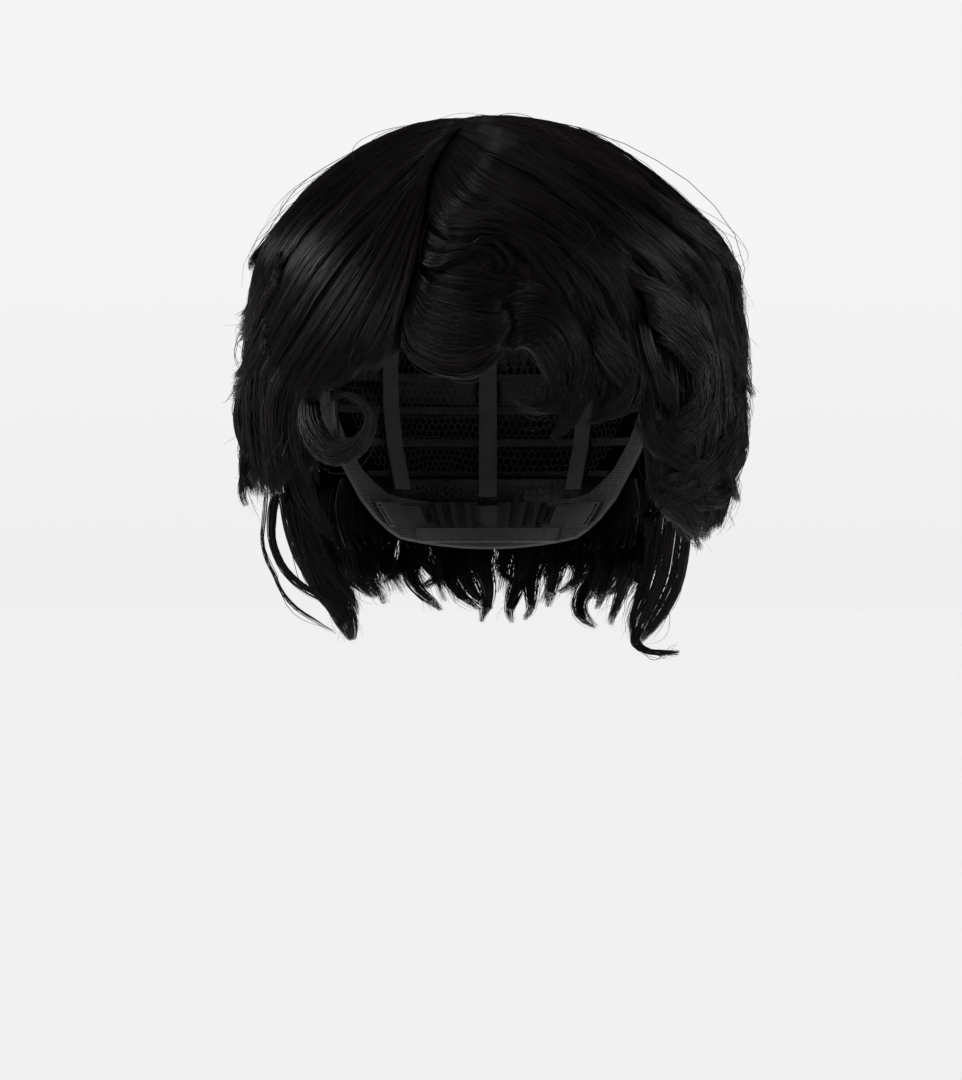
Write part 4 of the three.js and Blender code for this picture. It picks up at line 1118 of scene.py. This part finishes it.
# Node, body and drawing function, in the order in which they are drawn.
FRONT_AND_SIDES = [
    ("crown_front_right", "wig", crown_front_right),
    ("crown_front_left", "wig", crown_front_left),
    ("fringe_centre", "wig", fringe_centre),
    ("fringe_left", "wig", fringe_left),
    ("fringe_tip_left", "wig", fringe_tip_left),
    ("fringe_right", "wig", fringe_right),
    ("side_upper_right", "wig", side_upper_right),
    ("side_lower_right", "wig", side_lower_right),
    ("ring_curl_right", "ring_curl", ring_curl_right),
    ("sideburn_lock_right", "ear_tab_right", sideburn_lock_right),
    ("nape_lock_right", "nape_lock_right", nape_lock_right),
    ("side_upper_left", "wig", side_upper_left),
    ("side_lower_left", "wig", side_lower_left),
    ("sideburn_lock_left", "ear_tab_left", sideburn_lock_left),
    ("nape_lock_left", "nape_lock_left", nape_lock_left),
]
# Node, span of azimuths, and the layer that it belongs to.
BACK = [
    ("crown_back_left", (94, 182), CROWN),
    ("crown_back_right", (178, 266), CROWN),
    ("back_upper_left", (116, 182), UPPER),
    ("back_upper_right", (178, 244), UPPER),
    ("back_lower_left", (118, 182), LOWER),
    ("back_lower_right", (178, 242), LOWER),
    ("nape_centre", (118, 242), NAPE),
]
# Locks on joints of their own, each with the two points between which it leaves the wig; such a piece is
# baked where it stands rather than attached to a body.
BENDS = {
    "ring_curl_right": ((-72, -60, 0), (-76, -69, -19)),
    "nape_lock_right": ((-82, 33, -54), (-78, 36, -76)),
    "nape_lock_left": ((79, 34, -68), (79, 36, -90)),
}


def hair_piece(node, body, draw, **settings):
    """Makes the strands that a function draws into one piece, which stands for its CAD node."""
    parts = Parts()
    draw(parts, **settings)
    piece = parts.build("hair_" + node)
    piece.data.materials.append(HAIR)
    if node in BENDS:
        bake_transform(piece)
    else:
        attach(piece, body)
    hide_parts(node)


# ---------------------------------------------------------------- stage, lights and camera

FLOOR_HALF, FLOOR_HEIGHT = 30.0, -0.5
FLOOR_SHADE, FLOOR_GRAIN = 0.93, 0.01
FLOOR_GRAIN_SCALE = 3.0
FLOOR_GLOW = 0.225
BACKDROP = (0.865, 0.91)  # at the horizon, and above it
HORIZON_BLEND = 0.06
AMBIENT = 0.15

# Degrees round from the face and above the floor, spread in degrees, and strength.
LIGHTS = {
    "key": (-88, 22, 20, 2.0),
    "fill": (84, 18, 28, 1.8),
    "front": (-42, 10, 30, 1.3),
    "front_left": (40, 12, 30, 0.9),
}

CAMERA_PLACE = (-0.003, -2.2, -0.071)
SENSOR_HEIGHT, FOCAL_LENGTH = 36, 174.6


def add_stage():
    """A wide pale floor that the wig hangs above, with a little light of its own."""
    material, tree, shader = node_material("studio_floor", (FLOOR_SHADE,) * 3, 0.9)
    shades = [(0, (FLOOR_SHADE - FLOOR_GRAIN,) * 3), (1, (FLOOR_SHADE + FLOOR_GRAIN,) * 3)]
    tree.links.new(ramp(tree, noise(tree, FLOOR_GRAIN_SCALE), shades), shader.inputs["Base Color"])
    shader.inputs["Specular IOR Level"].default_value = 0
    shader.inputs["Emission Color"].default_value = (1, 1, 1, 1)
    shader.inputs["Emission Strength"].default_value = FLOOR_GLOW
    square = ((-1, -1), (1, -1), (1, 1), (-1, 1))
    corners = [(x * FLOOR_HALF, y * FLOOR_HALF, FLOOR_HEIGHT) for x, y in square]
    mesh = bpy.data.meshes.new("studio")
    mesh.from_pydata(corners, [], [(0, 1, 2, 3)])
    mesh.materials.append(material)
    studio = bpy.data.objects.new("studio", mesh)
    bpy.context.scene.collection.objects.link(studio)


def add_light(name, azimuth, height, spread, strength):
    """A distant soft light."""
    light = bpy.data.lights.new(name, "SUN")
    light.angle = math.radians(spread)
    light.energy = strength
    turn, rise = math.radians(azimuth), math.radians(height)
    away = Vector((math.sin(turn) * math.cos(rise), -math.cos(turn) * math.cos(rise), math.sin(rise)))
    lamp = bpy.data.objects.new(name, light)
    lamp.rotation_euler = (-away).to_track_quat("-Z", "Y").to_euler()
    bpy.context.scene.collection.objects.link(lamp)


def add_world():
    """A pale backdrop, which lights the wig less than it shows."""
    world = bpy.data.worlds.new("world")
    world.use_nodes = True
    tree = world.node_tree
    background = tree.nodes["Background"]
    background.inputs["Color"].default_value = (1, 1, 1, 1)
    direction = tree.nodes.new("ShaderNodeTexCoord").outputs["Generated"]
    split = tree.nodes.new("ShaderNodeSeparateXYZ")
    tree.links.new(direction, split.inputs["Vector"])
    backdrop = remap(tree, split.outputs["Z"], *BACKDROP)
    backdrop.node.inputs["From Max"].default_value = HORIZON_BLEND
    seen = tree.nodes.new("ShaderNodeLightPath").outputs["Is Camera Ray"]
    shown = remap(tree, seen, AMBIENT, BACKDROP[1])
    tree.links.new(backdrop, shown.node.inputs["To Max"])
    tree.links.new(shown, background.inputs["Strength"])
    bpy.context.scene.world = world


def add_camera():
    """The camera, level and straight in front of the face."""
    camera = bpy.data.cameras.new("camera")
    camera.sensor_fit = "VERTICAL"
    camera.sensor_height = SENSOR_HEIGHT
    camera.lens = FOCAL_LENGTH
    viewer = bpy.data.objects.new("camera", camera)
    viewer.location = CAMERA_PLACE
    viewer.rotation_euler = (math.pi / 2, 0, 0)
    bpy.context.scene.collection.objects.link(viewer)
    bpy.context.scene.camera = viewer


# ---------------------------------------------------------------- making it all

cap_net()
for node, material_slot, body, material, edge in SOFT_NODES:
    soft_copy(node, body, material, edge)
nape_pad()
finish_cad_nodes()
for node, body, draw in FRONT_AND_SIDES:
    hair_piece(node, body, draw)
for node, span, layer in BACK:
    hair_piece(node, "wig", back_hair, span=span, **layer)

bpy.context.scene.view_settings.view_transform = "Standard"
add_stage()
for name, placing in LIGHTS.items():
    add_light(name, *placing)
add_world()
add_camera()
